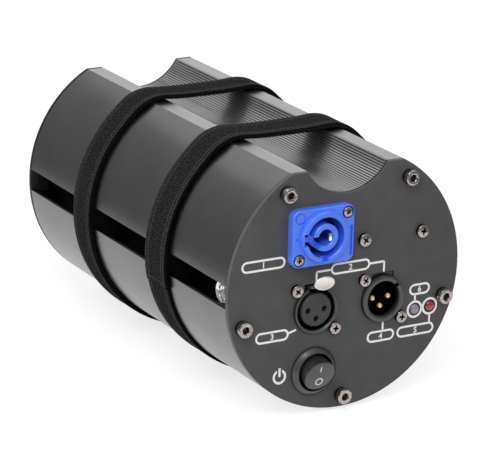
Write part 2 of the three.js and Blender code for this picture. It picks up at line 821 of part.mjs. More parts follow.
// Loop of strap seen along the tube, a given distance outside it. It runs round
// the body and straight over the saddle, from the right land round the bottom to the left one.
function strapPath(offset, bend, from, to) {
  const radius = tubeRadius + offset;
  const height = landHeight + offset;
  const corner = Math.asin(height / radius);
  const turn = bend / radius;
  const start = Math.PI - corner + turn;
  const end = 2 * Math.PI + corner - turn;
  const flatHalf = radius * Math.cos(corner) - bend;
  const rightEnd = arc(0, 0, radius, end, end, 1)[0];
  const leftEnd = new THREE.Vector2(-rightEnd.x, rightEnd.y);
  const peak = new THREE.Vector2(radius * Math.cos(corner), height);
  const right = new THREE.QuadraticBezierCurve(rightEnd, peak, new THREE.Vector2(flatHalf, height));
  const left = new THREE.QuadraticBezierCurve(new THREE.Vector2(-flatHalf, height),
    new THREE.Vector2(-peak.x, height), leftEnd);
  const loop = [...arc(0, 0, radius, start, end, tubeSteps * 5 / 6), ...right.getPoints(4).slice(1),
    ...left.getPoints(4).slice(0, -1)];
  const count = loop.length;
  const first = Math.round(from * count);
  const last = Math.round(to * count);
  const points = [];
  for (let i = first; i <= last; i += 1) {
    points.push(loop[(i + count) % count]);
  }
  return points;
}

// Strap with its free end lapped over itself between two shares of the loop.
function buildStrap(body, name, share, overlapShares) {
  const inner = seatGap;
  const outer = seatGap + strapThickness;
  const full = [0, 1];
  const half = strapWidth / 2;
  const ring = prism(strapPath(outer, strapBend, ...full).slice(0, -1), -half, half);
  const hole = prism(strapPath(inner, strapInnerBend, ...full).slice(0, -1), -half - overrun, half + overrun);
  const lapOuter = strapPath(outer + strapThickness, strapBend, ...overlapShares);
  const lapInner = strapPath(outer - seatGap, strapBend, ...overlapShares).reverse();
  const lap = prism([...lapOuter, ...lapInner], -half, half);
  const ground = -tubeRadius - outer + strapRest;
  const reach = 2 * tubeRadius;
  const below = block(-reach, -reach, reach, ground, -half - overrun, half + overrun);
  const strap = cutBy(ring.subtract(hole).add(lap), [below]);
  const seat = place(body, 0, 0, -bodyLength / 2 + share * bodyLength);
  addPiece(seat, name, strap, 'strap');
}

// Round threaded nut in the left slot, held by the slot's lips.
function buildSlotNut(body) {
  const top = channelTop - seatGap;
  const bottom = channelFloor + seatGap;
  const height = top - bottom;
  const nut = turned([
    [nutBore, 0],
    [nutRadius, 0],
    [nutRadius, height],
    [nutRadius - nutRing, height],
    [nutRadius - nutRing, height - nutRingDepth],
    [nutBore, height - nutRingDepth],
    [nutBore, 0],
  ], boreSteps);
  const seat = place(body, -bottom, 0, -nutInset);
  seat.rotation.y = -Math.PI / 2;
  addPiece(seat, 'slot_nut', nut, 'nickel');
}

// An end of the tube, with its panel's outer face on Z = 0 and Z pointing outwards.
function tubeEnd(body, turn) {
  const end = new THREE.Group();
  end.rotation.z = turn;
  const panel = new THREE.Group();
  panel.rotation.x = Math.PI / 2;
  panel.position.y = -bodyLength / 2;
  end.add(panel);
  body.add(end);
  return panel;
}

const splitter = new THREE.Group();
const body = new THREE.Group();
body.position.z = axisHeight;
splitter.add(body);

const front = tubeEnd(body, 0);
const rear = tubeEnd(body, Math.PI);

buildTube(front);
buildFrontPlate(front);
buildRearPlate(rear);
buildRimScrews(front, 'front');
buildRimScrews(rear, 'rear');
buildInlet(front);
buildSocket(front, 'thru_socket', panelPoint(thruShares), true);
buildInputSocket(front);
buildSwitch(front);
buildLamps(front);
buildInside(front, rear);
outputPoints().forEach((point, i) => buildSocket(rear, `output_socket_${i + 1}`, point, false));
buildStrap(front, 'strap_front', frontStrapShare, frontOverlapShares);
buildStrap(front, 'strap_rear', rearStrapShare, rearOverlapShares);
buildSlotNut(front);

export default splitter;
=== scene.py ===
# Looks of the stage signal splitter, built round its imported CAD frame. Metres, +Z up.
from math import asin, atan2, ceil, cos, degrees, exp, hypot, pi, radians, sin, sqrt

import bmesh
import bpy
from mathutils import Matrix, Vector


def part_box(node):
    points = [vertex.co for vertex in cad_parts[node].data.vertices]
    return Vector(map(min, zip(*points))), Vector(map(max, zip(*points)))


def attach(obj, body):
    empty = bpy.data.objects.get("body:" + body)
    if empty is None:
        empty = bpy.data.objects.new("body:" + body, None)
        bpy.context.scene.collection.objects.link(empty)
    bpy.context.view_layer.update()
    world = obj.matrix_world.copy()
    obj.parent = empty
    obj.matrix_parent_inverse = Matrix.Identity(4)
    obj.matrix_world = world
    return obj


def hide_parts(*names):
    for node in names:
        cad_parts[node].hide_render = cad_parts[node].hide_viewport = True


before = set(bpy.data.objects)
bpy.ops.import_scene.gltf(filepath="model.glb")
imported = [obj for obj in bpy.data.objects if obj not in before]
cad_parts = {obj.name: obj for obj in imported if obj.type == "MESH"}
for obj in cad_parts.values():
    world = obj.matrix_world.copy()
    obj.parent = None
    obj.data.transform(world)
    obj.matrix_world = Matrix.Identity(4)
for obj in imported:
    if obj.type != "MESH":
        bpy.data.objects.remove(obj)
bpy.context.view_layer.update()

mm = 0.001
TINY = 1e-6

# Weave of the straps
STRAP_WIDTH = 16 * mm
STRAP_RIB = 1.1 * mm
STRAP_YARN = 0.8 * mm

# Places read from the frame
TUBE_LOW, TUBE_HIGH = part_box("housing_extrusion")
PLATE_LOW, PLATE_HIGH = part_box("front_plate")
TUBE_RADIUS = (PLATE_HIGH.x - PLATE_LOW.x) / 2
AXIS_HEIGHT = TUBE_LOW.z + TUBE_RADIUS
LAND_HEIGHT = TUBE_HIGH.z - AXIS_HEIGHT
FRONT_FACE = PLATE_LOW.y
REAR_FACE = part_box("rear_plate")[1].y
PLATE_THICKNESS = TUBE_LOW.y - FRONT_FACE
BODY_LENGTH = REAR_FACE - FRONT_FACE

# A panel's own axes: X to the right, Y up and Z outwards, from the tube's axis on the plate's outer face
UPRIGHT = Matrix.Rotation(radians(90), 4, "X")
FRONT = Matrix.Translation((0, FRONT_FACE, AXIS_HEIGHT)) @ UPRIGHT
REAR = Matrix.Translation((0, REAR_FACE, AXIS_HEIGHT)) @ Matrix.Rotation(pi, 4, "Z") @ UPRIGHT

# Sizes shared by several pieces
OVERRUN = 1 * mm
SADDLE_RADIUS = 23.5 * mm
SADDLE_HEIGHT = 63.6 * mm
RIB_PITCH = 1.22 * mm
RIB_DEPTH = 0.3 * mm
WALL = 3 * mm
NOTCH_STEP = 0.3 * mm
SLOT_WIDTH = 9.4 * mm
SLOT_CHAMFER = 0.8 * mm
SLOT_LIP = 2 * mm
CHANNEL_WIDTH = 12.6 * mm
CHANNEL_DEPTH = 7 * mm
CHANNEL_TOP = TUBE_RADIUS - SLOT_LIP
CHANNEL_FLOOR = CHANNEL_TOP - CHANNEL_DEPTH
PORT_CIRCLE = 53.4 * mm
PORT_BORE = 2 * mm
PORT_BOSS = 4 * mm
PORT_ANGLES = [35.5, -35.5, -105.5, 105.5, 180]
PORTS = [(PORT_CIRCLE * sin(radians(a)), PORT_CIRCLE * cos(radians(a))) for a in PORT_ANGLES]
CAP_SHANK = 1.7 * mm
PAN_SHANK = 1.2 * mm
SOCKET_RING = 10.8 * mm
SOCKET_BORE = 9.5 * mm
RECESS_WIDTH = 11.4 * mm
RECESS_TOP = 12 * mm
SCREW_OFFSET = 9.9 * mm
HOLE_GAP = 0.3 * mm
INLET_BARREL = 11.6 * mm
SWITCH_BODY = 10 * mm
LAMP_RADIUS = 2.5 * mm


def panel_place(node, panel=FRONT):
    """Where a round node's axis stands on its panel, across and up."""
    low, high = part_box(node)
    middle = panel.inverted() @ ((low + high) / 2)
    return middle.x, middle.y


def proud(node):
    """How far a node of the front panel stands out of its outer face."""
    return FRONT_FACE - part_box(node)[0].y


INLET = panel_place("power_inlet_housing")
THRU = panel_place("thru_socket_shell")
INPUT = panel_place("input_socket_shell")
SWITCH = panel_place("switch_bezel")
SIGNAL_LAMP = panel_place("led_signal")
POWER_LAMP = panel_place("led_power")
OUTPUTS = [panel_place(f"output_socket_{i}_shell", REAR) for i in range(1, 7)]


# Modelling steps


def settle():
    """Leaves edit mode with nothing selected, so that the next operator acts on its own piece alone."""
    if bpy.context.mode != "OBJECT":
        bpy.ops.object.mode_set(mode="OBJECT")
    bpy.ops.object.select_all(action="DESELECT")


def hold(piece):
    """Makes a piece the only selected one and the active one."""
    settle()
    piece.select_set(True)
    bpy.context.view_layer.objects.active = piece
    return piece


def fresh():
    """The primitive that was just added, with its place and size in its mesh."""
    bpy.ops.object.transform_apply(location=True, rotation=True, scale=True)
    return bpy.context.object


def in_mm(*points):
    """Points that are given in millimetres."""
    return [(x * mm, y * mm) for x, y in points]


def arc(x, y, reach, rise, last, steps):
    """Points of a rounded rim about a middle, from pointing right up to a last angle in degrees."""
    angles = [radians(last * step / steps) for step in range(steps + 1)]
    return [(x + reach * cos(angle), y + rise * sin(angle)) for angle in angles]


def block(left, bottom, right, top, back, front):
    settle()
    centre = ((left + right) / 2, (bottom + top) / 2, (back + front) / 2)
    bpy.ops.mesh.primitive_cube_add(size=1, location=centre, scale=(right - left, top - bottom, front - back))
    return fresh()


def rod(x, y, radius, back, front, steps=48):
    settle()
    bpy.ops.mesh.primitive_cylinder_add(vertices=steps, radius=radius, depth=front - back,
                                        location=(x, y, (back + front) / 2))
    return fresh()


def turned(profile, steps=48):
    """A closed body round Z: a disc drawn from ring to ring of (radius, height) by extrude and resize."""
    settle()
    radius, height = profile[0]
    bpy.ops.mesh.primitive_circle_add(vertices=steps, radius=radius, fill_type="NGON",
                                      location=(0, 0, height))
    piece = fresh()
    bpy.ops.object.mode_set(mode="EDIT")
    bpy.ops.mesh.select_all(action="SELECT")
    for ring, level in profile[1:]:
        bpy.ops.mesh.extrude_region_move(TRANSFORM_OT_translate={"value": (0, 0, level - height)})
        share = ring / radius
        bpy.ops.transform.resize(value=(share, share, 1), center_override=(0, 0, level))
        radius, height = ring, level
    bpy.ops.mesh.select_all(action="SELECT")
    bpy.ops.mesh.normals_make_consistent(inside=False)
    settle()
    return piece


def select(piece, kind, chosen):
    """Opens a piece in edit mode with the faces or edges selected that chosen(item) names."""
    hold(piece)
    bpy.ops.object.mode_set(mode="EDIT")
    bpy.ops.mesh.select_mode(type=kind)
    bpy.ops.mesh.select_all(action="DESELECT")
    mesh = bmesh.from_edit_mesh(piece.data)
    for item in mesh.faces if kind == "FACE" else mesh.edges:
        item.select_set(chosen(item))
    mesh.select_flush_mode()
    bmesh.update_edit_mesh(piece.data)


def select_faces(piece, chosen=lambda centre, normal: True):
    """Selects the faces that chosen(centre, normal) names, or all of them."""
    select(piece, "FACE", lambda face: chosen(face.calc_center_median(), face.normal))


def select_edges(piece, chosen):
    """Selects the edges that chosen(end, end) names."""
    select(piece, "EDGE", lambda edge: chosen(*[end.co for end in edge.verts]))


def resize_selected(share, centre=(0, 0, 0)):
    bpy.ops.transform.resize(value=share, center_override=centre)
    settle()


def slice_off(piece, point, outwards):
    """Takes off what lies past a plane, and closes the cut."""
    select_faces(piece)
    bpy.ops.mesh.bisect(plane_co=point, plane_no=outwards, use_fill=True, clear_outer=True)
    settle()
    return piece


def bevel_edges(piece, chosen, width, segments=4):
    select_edges(piece, chosen)
    bpy.ops.mesh.bevel(offset=width, segments=segments, affect="EDGES")
    settle()
    return piece


def upright_edge(a, b):
    return abs(a.x - b.x) < TINY and abs(a.y - b.y) < TINY


def modify(piece, kind, **settings):
    """Applies one modifier to a piece."""
    hold(piece)
    step = piece.modifiers.new(kind.lower(), kind)
    for name, value in settings.items():
        setattr(step, name, value)
    bpy.ops.object.modifier_apply(modifier=step.name)
    return piece


def soften(piece, width, segments=2, angle=40):
    """Rounds every edge that is sharper than an angle in degrees."""
    return modify(piece, "BEVEL", width=width, segments=segments, limit_method="ANGLE",
                  angle_limit=radians(angle), use_clamp_overlap=True, miter_outer="MITER_ARC")


def combine(piece, tools, operation):
    for tool in tools:
        modify(piece, "BOOLEAN", operation=operation, solver="EXACT", object=tool)
        discard(tool)
    return piece


def cut(piece, *tools):
    return combine(piece, tools, "DIFFERENCE")


def weld(piece, *tools):
    return combine(piece, tools, "UNION")


def group(pieces):
    """Joins several meshes into one piece, without welding them."""
    hold(pieces[0])
    for piece in pieces[1:]:
        piece.select_set(True)
    bpy.ops.object.join()
    return bpy.context.object


def shift(piece, x=0, y=0, z=0):
    piece.data.transform(Matrix.Translation((x, y, z)))
    return piece


def turn(piece, angle, axis="Z", about=(0, 0, 0)):
    """Turns a mesh by an angle in degrees about an axis through a point."""
    there = Matrix.Translation(about)
    piece.data.transform(there @ Matrix.Rotation(radians(angle), 4, axis) @ there.inverted())
    return piece


def copy_of(piece):
    """A copy with its own mesh."""
    other = piece.copy()
    other.data = piece.data.copy()
    bpy.context.scene.collection.objects.link(other)
    return other


def discard(*pieces):
    for piece in pieces:
        bpy.data.objects.remove(piece)


def dress(piece, name, finish, node=None, panel=FRONT, body="body", smooth=35, material=None):
    """Gives a finished piece its name, place, shading, material and body, and hides the CAD node it stands
    for.
    Its material is its finish's, unless it has one of its own."""
    if panel is not None:
        piece.data.transform(panel)
    piece.data.update()
    hold(piece)
    bpy.ops.object.shade_smooth_by_angle(angle=radians(smooth))
    piece.name = name
    piece.data.name = name
    piece.data.materials.clear()
    piece.data.materials.append(material or FINISHES[finish])
    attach(piece, body)
    if node:
        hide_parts(node)
    settle()
    return piece


# Materials

# Sockets of a colour mix: its two colours and its result
FIRST, SECOND, RESULT = 6, 7, 2


def add_node(tree, kind, inputs=(), **settings):
    """A shader node with its settings made, and each input linked or set."""
    made = tree.nodes.new(f"ShaderNode{kind}")
    for name, value in settings.items():
        setattr(made, name, value)
    for socket, value in dict(inputs).items():
        if isinstance(value, bpy.types.NodeSocket):
            tree.links.new(value, made.inputs[socket])
        else:
            made.inputs[socket].default_value = value
    return made


class Surface:
    """A material under way: its nodes end in one Principled shader."""

    def __init__(self, name, colour, settings):
        self.material = bpy.data.materials.new(name)
        self.material.use_nodes = True
        self.tree = self.material.node_tree
        self.shader = self.tree.nodes["Principled BSDF"]
        self.shader.inputs["Base Color"].default_value = (*colour, 1)
        for socket, value in settings.items():
            self.shader.inputs[socket].default_value = value
        self.place = None

    def node(self, kind, inputs=(), **settings):
        return add_node(self.tree, kind, inputs, **settings)

    def coordinates(self, source="Object", stretch=(1, 1, 1), move=(0, 0, 0)):
        """Coordinates in metres, of the row frame or of the piece's own UV map."""
        if self.place is None:
            self.place = self.node("TexCoord")
        inputs = {"Vector": self.place.outputs[source], "Scale": stretch, "Location": move}
        return self.node("Mapping", inputs).outputs["Vector"]

    def parts(self, vector):
        split = self.node("SeparateXYZ", {"Vector": vector})
        return [split.outputs[axis] for axis in "XYZ"]

    def noise(self, pitch, detail=3, where=None, roughness=0.55):
        """Soft noise whose grains are about a pitch wide."""
        vector = self.coordinates() if where is None else where
        made = self.node("TexNoise", {"Vector": vector, "Scale": 1 / pitch, "Detail": detail,
                                      "Roughness": roughness})
        return made.outputs["Fac"]

    def remap(self, value, low, high, start=0.3, end=0.7):
        made = self.node("MapRange", {"Value": value, "From Min": start, "From Max": end,
                                      "To Min": low, "To Max": high})
        return made.outputs["Result"]

    def rise(self, value, start=0.3, end=0.7):
        return self.remap(value, 0, 1, start, end)

    def fall(self, value, start, end):
        return self.remap(value, 1, 0, start, end)

    def off_panel(self, low, high, start, end):
        """Goes from low to high between two distances outwards from the panels' outer faces."""
        depth = self.size(self.parts(self.coordinates())[1])
        return self.remap(depth, low, high, BODY_LENGTH / 2 + start, BODY_LENGTH / 2 + end)

    def mixed(self, share, *colours):
        """Blend of two colours, each a socket or three numbers."""
        ends = [colour if isinstance(colour, bpy.types.NodeSocket) else (*colour, 1) for colour in colours]
        mix = self.node("Mix", {0: share, FIRST: ends[0], SECOND: ends[1]}, data_type="RGBA")
        return mix.outputs[RESULT]

    def sum(self, first, second, operation="ADD"):
        return self.node("Math", {0: first, 1: second}, operation=operation).outputs[0]

    def size(self, value):
        return self.sum(value, 0, "ABSOLUTE")

    def wave(self, value, pitch):
        return self.sum(self.sum(value, 2 * pi / pitch, "MULTIPLY"), 0, "SINE")

    def length(self, vector):
        return self.node("VectorMath", {0: vector}, operation="LENGTH").outputs["Value"]

    def off_axis(self, x, z):
        """Distance from the line along Y."""
        return self.length(self.node("CombineXYZ", {"X": x, "Y": z}).outputs[0])

    def set(self, socket, output):
        self.tree.links.new(output, self.shader.inputs[socket])

    def finished(self, colour, roughness=None, height=None, distance=0, strength=1):
        """The material with its colour, its roughness and the bumps of a height."""
        self.set("Base Color", colour)
        if roughness is not None:
            self.set("Roughness", roughness)
        if height is not None:
            bump = self.node("Bump", {"Height": height, "Distance": distance, "Strength": strength})
            self.set("Normal", bump.outputs["Normal"])
        return self.material


def anodised_tube():
    """Dark satin anodising with the fine lengthwise die lines of an extrusion, with near-black painted shade
    in the slots and on the lip under each slot. The saddle carries painted light: lighter over its floor,
    down into its grooves, and on its right wall a painted highlight on the rib tips with painted shade in the
    grooves."""
    made = Surface("anodised_tube", (0.27, 0.27, 0.272), {"Metallic": 1, "Specular IOR Level": 0.5})
    x, _, z = made.parts(made.coordinates(move=(0, 0, -AXIS_HEIGHT)))
    chamfer_foot = SLOT_WIDTH / 2 + SLOT_CHAMFER
    below_lip = made.fall(z, -chamfer_foot, 0.1 * mm - chamfer_foot)
    lips = made.sum(made.rise(z, 0, 1 * mm), below_lip, "MAXIMUM")
    outer = made.rise(made.size(x), TUBE_RADIUS - 1.4 * mm, TUBE_RADIUS - 1 * mm)
    off_slot = made.rise(made.size(z), CHANNEL_WIDTH / 2 + 1 * mm, CHANNEL_WIDTH / 2 + 1.3 * mm)
    open_place = made.sum(made.sum(outer, lips, "MINIMUM"), off_slot, "MAXIMUM")
    metal = made.mixed(made.rise(made.noise(18 * mm)), (0.160, 0.160, 0.162), (0.180, 0.180, 0.182))
    # Painted shade: near-black inside the slots and on the lip under each slot.
    shade = made.mixed(open_place, (0.016, 0.016, 0.016), metal)
    x, _, z = made.parts(made.coordinates(move=(0, 0, -AXIS_HEIGHT - SADDLE_HEIGHT)))
    depth = made.off_axis(x, z)
    groove = made.rise(depth, SADDLE_RADIUS + 0.04 * mm, SADDLE_RADIUS + 0.2 * mm)
    # Painted light on the saddle: its floor painted lighter, and on its right wall a painted highlight on the
    # rib tips with painted shade in the grooves.
    saddle_floor_light = made.mixed(groove, (0.27, 0.27, 0.273), (0.24, 0.24, 0.243))
    wall_highlight_and_groove_shade = made.mixed(groove, (0.42, 0.42, 0.424), (0.03, 0.03, 0.03))
    saddle_painted_light = made.mixed(made.rise(x, 2 * mm, 12 * mm), saddle_floor_light, wall_highlight_and_groove_shade)
    ribbed = made.fall(depth, SADDLE_RADIUS + 0.6 * mm, SADDLE_RADIUS + 0.8 * mm)
    lines = made.noise(1.1 * mm, 2, made.coordinates(stretch=(1, 0.01, 1)))
    surface = made.mixed(ribbed, shade, saddle_painted_light)
    return made.finished(surface, made.remap(lines, 0.27, 0.3), lines, 0.001 * mm, 0.1)


def painted_panel():
    """Matt dark powder coat with a fine grain and faint mottling, with near-black painted shade on its inner
    faces and on the rear rim, and a painted highlight along the front rim and top edge."""
    made = Surface("painted_panel", (0.07, 0.07, 0.072), {"Specular IOR Level": 0.35})
    x, y, z = made.parts(made.coordinates(move=(0, 0, -AXIS_HEIGHT)))
    paint = made.mixed(made.rise(made.noise(9 * mm)), (0.064, 0.064, 0.066), (0.078, 0.078, 0.080))
    inner_face = BODY_LENGTH / 2 - PLATE_THICKNESS
    outside = made.rise(made.size(y), inner_face, inner_face + 0.3 * mm)
    rim = made.rise(made.off_axis(x, z), TUBE_RADIUS - 0.3 * mm, TUBE_RADIUS - 0.15 * mm)
    top_rim = made.rise(z, LAND_HEIGHT - 0.3 * mm, LAND_HEIGHT - 0.15 * mm)
    front_edge = made.fall(y, 1.4 * mm - BODY_LENGTH / 2, 1.6 * mm - BODY_LENGTH / 2)
    edge = made.sum(made.sum(rim, top_rim, "MAXIMUM"), front_edge, "MULTIPLY")
    # Painted highlight: lighter along the front plate's rim and top edge.
    front_edge_highlight = made.mixed(edge, paint, (0.108, 0.108, 0.110))
    within = made.sum(made.sum(1, rim, "SUBTRACT"), made.fall(y, 0, 1 * mm), "MAXIMUM")
    # Painted shade: near-black on the inner faces and on the rear plate's rim.
    shade = made.mixed(made.sum(outside, within, "MINIMUM"), (0.006, 0.006, 0.006), front_edge_highlight)
    grain = made.noise(0.22 * mm, 4)
    return made.finished(shade, made.remap(grain, 0.52, 0.66), grain, 0.02 * mm, 0.7)


def plated_metal(name, dark, light, roughness, metallic=1):
    """Plated or bare metal with faint stains and a hint of grain."""
    made = Surface(name, dark, {"Metallic": metallic})
    cloud = made.noise(1.5 * mm, 4)
    stained = made.mixed(made.rise(cloud), dark, light)
    polish = made.remap(cloud, roughness * 0.8, roughness * 1.25)
    return made.finished(stained, polish, made.noise(0.12 * mm, 2), 0.004 * mm, 0.4)


def screw_metal():
    """Dull nickel, with dark painted shade low down and in the recesses, where it nears the panel's level."""
    made = Surface("screw_nickel", (0.4, 0.36, 0.35), {"Metallic": 1})
    cloud = made.noise(0.9 * mm, 4)
    metal = made.mixed(made.rise(cloud), (0.24, 0.200, 0.188), (0.56, 0.50, 0.475))
    # Painted shade in the recesses and low down, near the panel.
    shade = made.mixed(made.off_panel(0, 1, 1 * mm, 1.8 * mm), (0.02, 0.017, 0.016), metal)
    return made.finished(shade, made.remap(cloud, 0.13, 0.2), made.noise(0.12 * mm, 2), 0.004 * mm, 0.4)


def moulded_plastic(name, dark, light, roughness, settings=(), painted_shade_colour=None, reach=0, shade_hides_shine=False):
    """Moulded plastic: a spark-eroded grain and slightly uneven colour, which turns into a painted shade
    colour within a reach behind the panels, and there, where the shade hides the shine, becomes black metal
    without reflections."""
    made = Surface(name, dark, {"Specular IOR Level": 0.5, **dict(settings)})
    colour = made.mixed(made.rise(made.noise(5 * mm, 2)), dark, light)
    if painted_shade_colour is not None:
        # Painted shade: darker colour within a reach behind the panels, and no reflections there where the
        # shade hides the shine.
        behind = made.off_panel(1, 0, -reach, 0.6 * mm)
        colour = made.mixed(behind, colour, painted_shade_colour)
        if shade_hides_shine:
            made.set("Metallic", behind)
    grain = made.noise(0.18 * mm, 2)
    polish = made.remap(grain, roughness * 0.85, roughness * 1.15)
    return made.finished(colour, polish, grain, 0.012 * mm, 0.5)


def circuit_board():
    """Green solder mask over faint copper tracks."""
    made = Surface("circuit_board", (0.01, 0.09, 0.03), {"Coat Weight": 0.3})
    tracks = made.node("TexBrick", {"Vector": made.coordinates(), "Scale": 1 / (14 * mm), "Mortar Size": 0.05,
                                    "Color1": (0, 0, 0, 1), "Color2": (0.1, 0.1, 0.1, 1),
                                    "Mortar": (1, 1, 1, 1)}).outputs["Color"]
    mask = made.mixed(tracks, (0.008, 0.075, 0.025), (0.03, 0.16, 0.05))
    return made.finished(mask, made.remap(made.noise(0.5 * mm), 0.3, 0.45), tracks, 0.03 * mm, 0.5)


def strap_weave(name, rib_share, pile_share):
    """Charcoal hook-and-loop webbing: fine ribs across it, broken by its lengthwise yarns and a soft pile,
    with near-black painted shade in the hollows of its weave and along its side edges.
    """
    made = Surface(name, (0.02, 0.02, 0.0205), {"Roughness": 0.95, "Specular IOR Level": 0.05,
                                                "Sheen Weight": 0.03, "Sheen Roughness": 0.5})
    place = made.coordinates("UV")
    x, y, _ = made.parts(place)
    wander = made.noise(2.5 * mm, 3, place)
    ribs = made.wave(made.sum(x, made.sum(wander, 0.6 * mm, "MULTIPLY")), STRAP_RIB)
    yarns = made.wave(y, STRAP_YARN)
    weave = made.sum(made.sum(ribs, rib_share / 2, "MULTIPLY"), made.sum(yarns, 0.08, "MULTIPLY"))
    fuzz = made.remap(made.noise(1 * mm, 4, place, 0.8), -pile_share / 2, pile_share / 2)
    height = made.sum(made.sum(weave, 0.5), fuzz)
    # Painted shade along the side edges: the colour falls to a tenth there.
    top = made.remap(made.size(y), 1, 0.1, STRAP_WIDTH / 2 - 0.2 * mm, STRAP_WIDTH / 2 - 0.05 * mm)
    # Painted shade in the hollows of the weave: near-black where its height is low.
    weave_painted_shade = made.sum(made.rise(height, 0.22, 0.85), top, "MULTIPLY")
    shade = made.mixed(weave_painted_shade, (0.001, 0.001, 0.0011), (0.042, 0.042, 0.0425))
    return made.finished(shade, None, height, 0.4 * mm)


def thread():
    """Grey yarn of the stitches."""
    made = Surface("thread", (0.16, 0.16, 0.16), {"Roughness": 0.8, "Sheen Weight": 0.2})
    twist = made.noise(0.2 * mm, 2)
    shade = made.mixed(made.rise(twist), (0.05, 0.05, 0.05), (0.13, 0.13, 0.13))
    return made.finished(shade, None, twist, 0.05 * mm, 0.6)


def lamp_lens(name, centre, rim, heart):
    """Diffused lamp resin: lighter and clouded over the die in its middle."""
    made = Surface(name, rim, {"Roughness": 0.12, "Coat Weight": 1.0, "Coat Roughness": 0.05,
                               "Subsurface Weight": 0.2, "Subsurface Scale": 1 * mm})
    x, y = centre
    away = made.length(made.coordinates(move=(-x, -FRONT_FACE, -AXIS_HEIGHT - y)))
    speck = made.remap(made.noise(0.7 * mm), 0.45, 1)
    glow = made.sum(made.fall(away, 0.2 * mm, 2.4 * mm), speck, "MULTIPLY")
    return made.finished(made.mixed(glow, rim, heart))


FINISHES = {
    "tube_anodised": anodised_tube(),
    "panel_paint": painted_panel(),
    "screw_nickel": screw_metal(),
    "board_green": circuit_board(),
    "strap_fabric": strap_weave("strap_ribbed", 0.5, 1.6),
    "lamp_grey": lamp_lens("lamp_grey", SIGNAL_LAMP, (0.18, 0.175, 0.22), (0.42, 0.41, 0.50)),
    "lamp_red": lamp_lens("lamp_red", POWER_LAMP, (0.20, 0.006, 0.014), (0.62, 0.03, 0.07)),
}
PILE = strap_weave("strap_pile", 0.3, 1.8)
THREAD = thread()

# Two colours and a roughness each, and how metallic
METALS = {
    "contact_silver": ((0.75, 0.75, 0.76), (0.88, 0.88, 0.89), 0.18),
    "latch_metal": ((0.76, 0.70, 0.66), (0.86, 0.81, 0.77), 0.42),
    "pin_gold": ((0.80, 0.58, 0.24), (0.90, 0.70, 0.34), 0.22, 0.6),
    "bracket_steel": ((0.45, 0.46, 0.47), (0.58, 0.59, 0.60), 0.35),
    "nut_chrome": ((0.72, 0.72, 0.73), (0.86, 0.86, 0.87), 0.12),
}
# Two colours and a roughness each, settings, the painted shade colour behind the panels and how soon it is
# reached, and whether that shade hides the shine
PLASTICS = {
    "inlet_blue": ((0.050, 0.175, 0.92), (0.060, 0.200, 0.97), 0.36,
                   {"Coat Weight": 0.9, "Coat Roughness": 0.28}, (0.003, 0.016, 0.12), 7 * mm),
    "socket_black": ((0.010, 0.010, 0.0105), (0.016, 0.016, 0.0165), 0.34, {"Specular IOR Level": 0.95},
                     (0.0005, 0.0005, 0.0005), 2 * mm, True),
    "insert_grey": ((0.028, 0.028, 0.029), (0.036, 0.036, 0.037), 0.5),
    # Near-black painted shade for the floor deep in the input socket.
    "floor_painted_shade": ((0.003, 0.003, 0.003), (0.005, 0.005, 0.005), 0.6, {"Specular IOR Level": 0.15}),
    "converter_black": ((0.015, 0.015, 0.016), (0.022, 0.022, 0.023), 0.6),
    "print_white": ((0.93, 0.93, 0.93), (0.98, 0.98, 0.98), 0.6),
}
for finish_name, recipe in METALS.items():
    FINISHES[finish_name] = plated_metal(finish_name, *recipe)
for finish_name, recipe in PLASTICS.items():
    FINISHES[finish_name] = moulded_plastic(finish_name, *recipe)


# Body

LAND_PLANE = ((0, LAND_HEIGHT, 0), (0, 1, 0))
PLATE_ENDS = (-PLATE_THICKNESS - OVERRUN, OVERRUN)


def both_sides(inner, outer, half, *ends):
    """A block to the right of the axis and one to its left."""
    return [block(inner, -half, outer, half, *ends), block(-outer, -half, -inner, half, *ends)]


def rib_cutter(back, front):
    """Fluted rod that leaves fine ribs in the saddle: flat tips with a sharp groove between them."""
    ribs = round(2 * pi * SADDLE_RADIUS / RIB_PITCH)
    steps = 4 * ribs
    piece = turn(rod(0, 0, SADDLE_RADIUS, back, front, steps), 180 / steps)

    def in_valley(point):
        return (atan2(point.x, point.y) / (2 * pi) * steps) % 4 < 1

    select_edges(piece, lambda a, b: upright_edge(a, b) and in_valley(a))
    share = 1 + RIB_DEPTH / SADDLE_RADIUS
    resize_selected((share, share, 1))
    return shift(piece, y=SADDLE_HEIGHT)


def tube_core(back, front):
    """The tube's inner hollow: it leaves a wall under the saddle and slots and a boss round each port."""
    ends = back - OVERRUN, front + OVERRUN
    walls = [
        rod(0, SADDLE_HEIGHT, SADDLE_RADIUS + RIB_DEPTH + WALL, *ends, 96),
        block(-TUBE_RADIUS, LAND_HEIGHT - WALL, TUBE_RADIUS, TUBE_RADIUS, *ends),
        *both_sides(CHANNEL_FLOOR - WALL, TUBE_RADIUS, CHANNEL_WIDTH / 2 + WALL, *ends),
        *[rod(x, y, PORT_BOSS, *ends, 24) for x, y in PORTS],
    ]
    return cut(rod(0, 0, TUBE_RADIUS - WALL, back, front, 128), *walls)


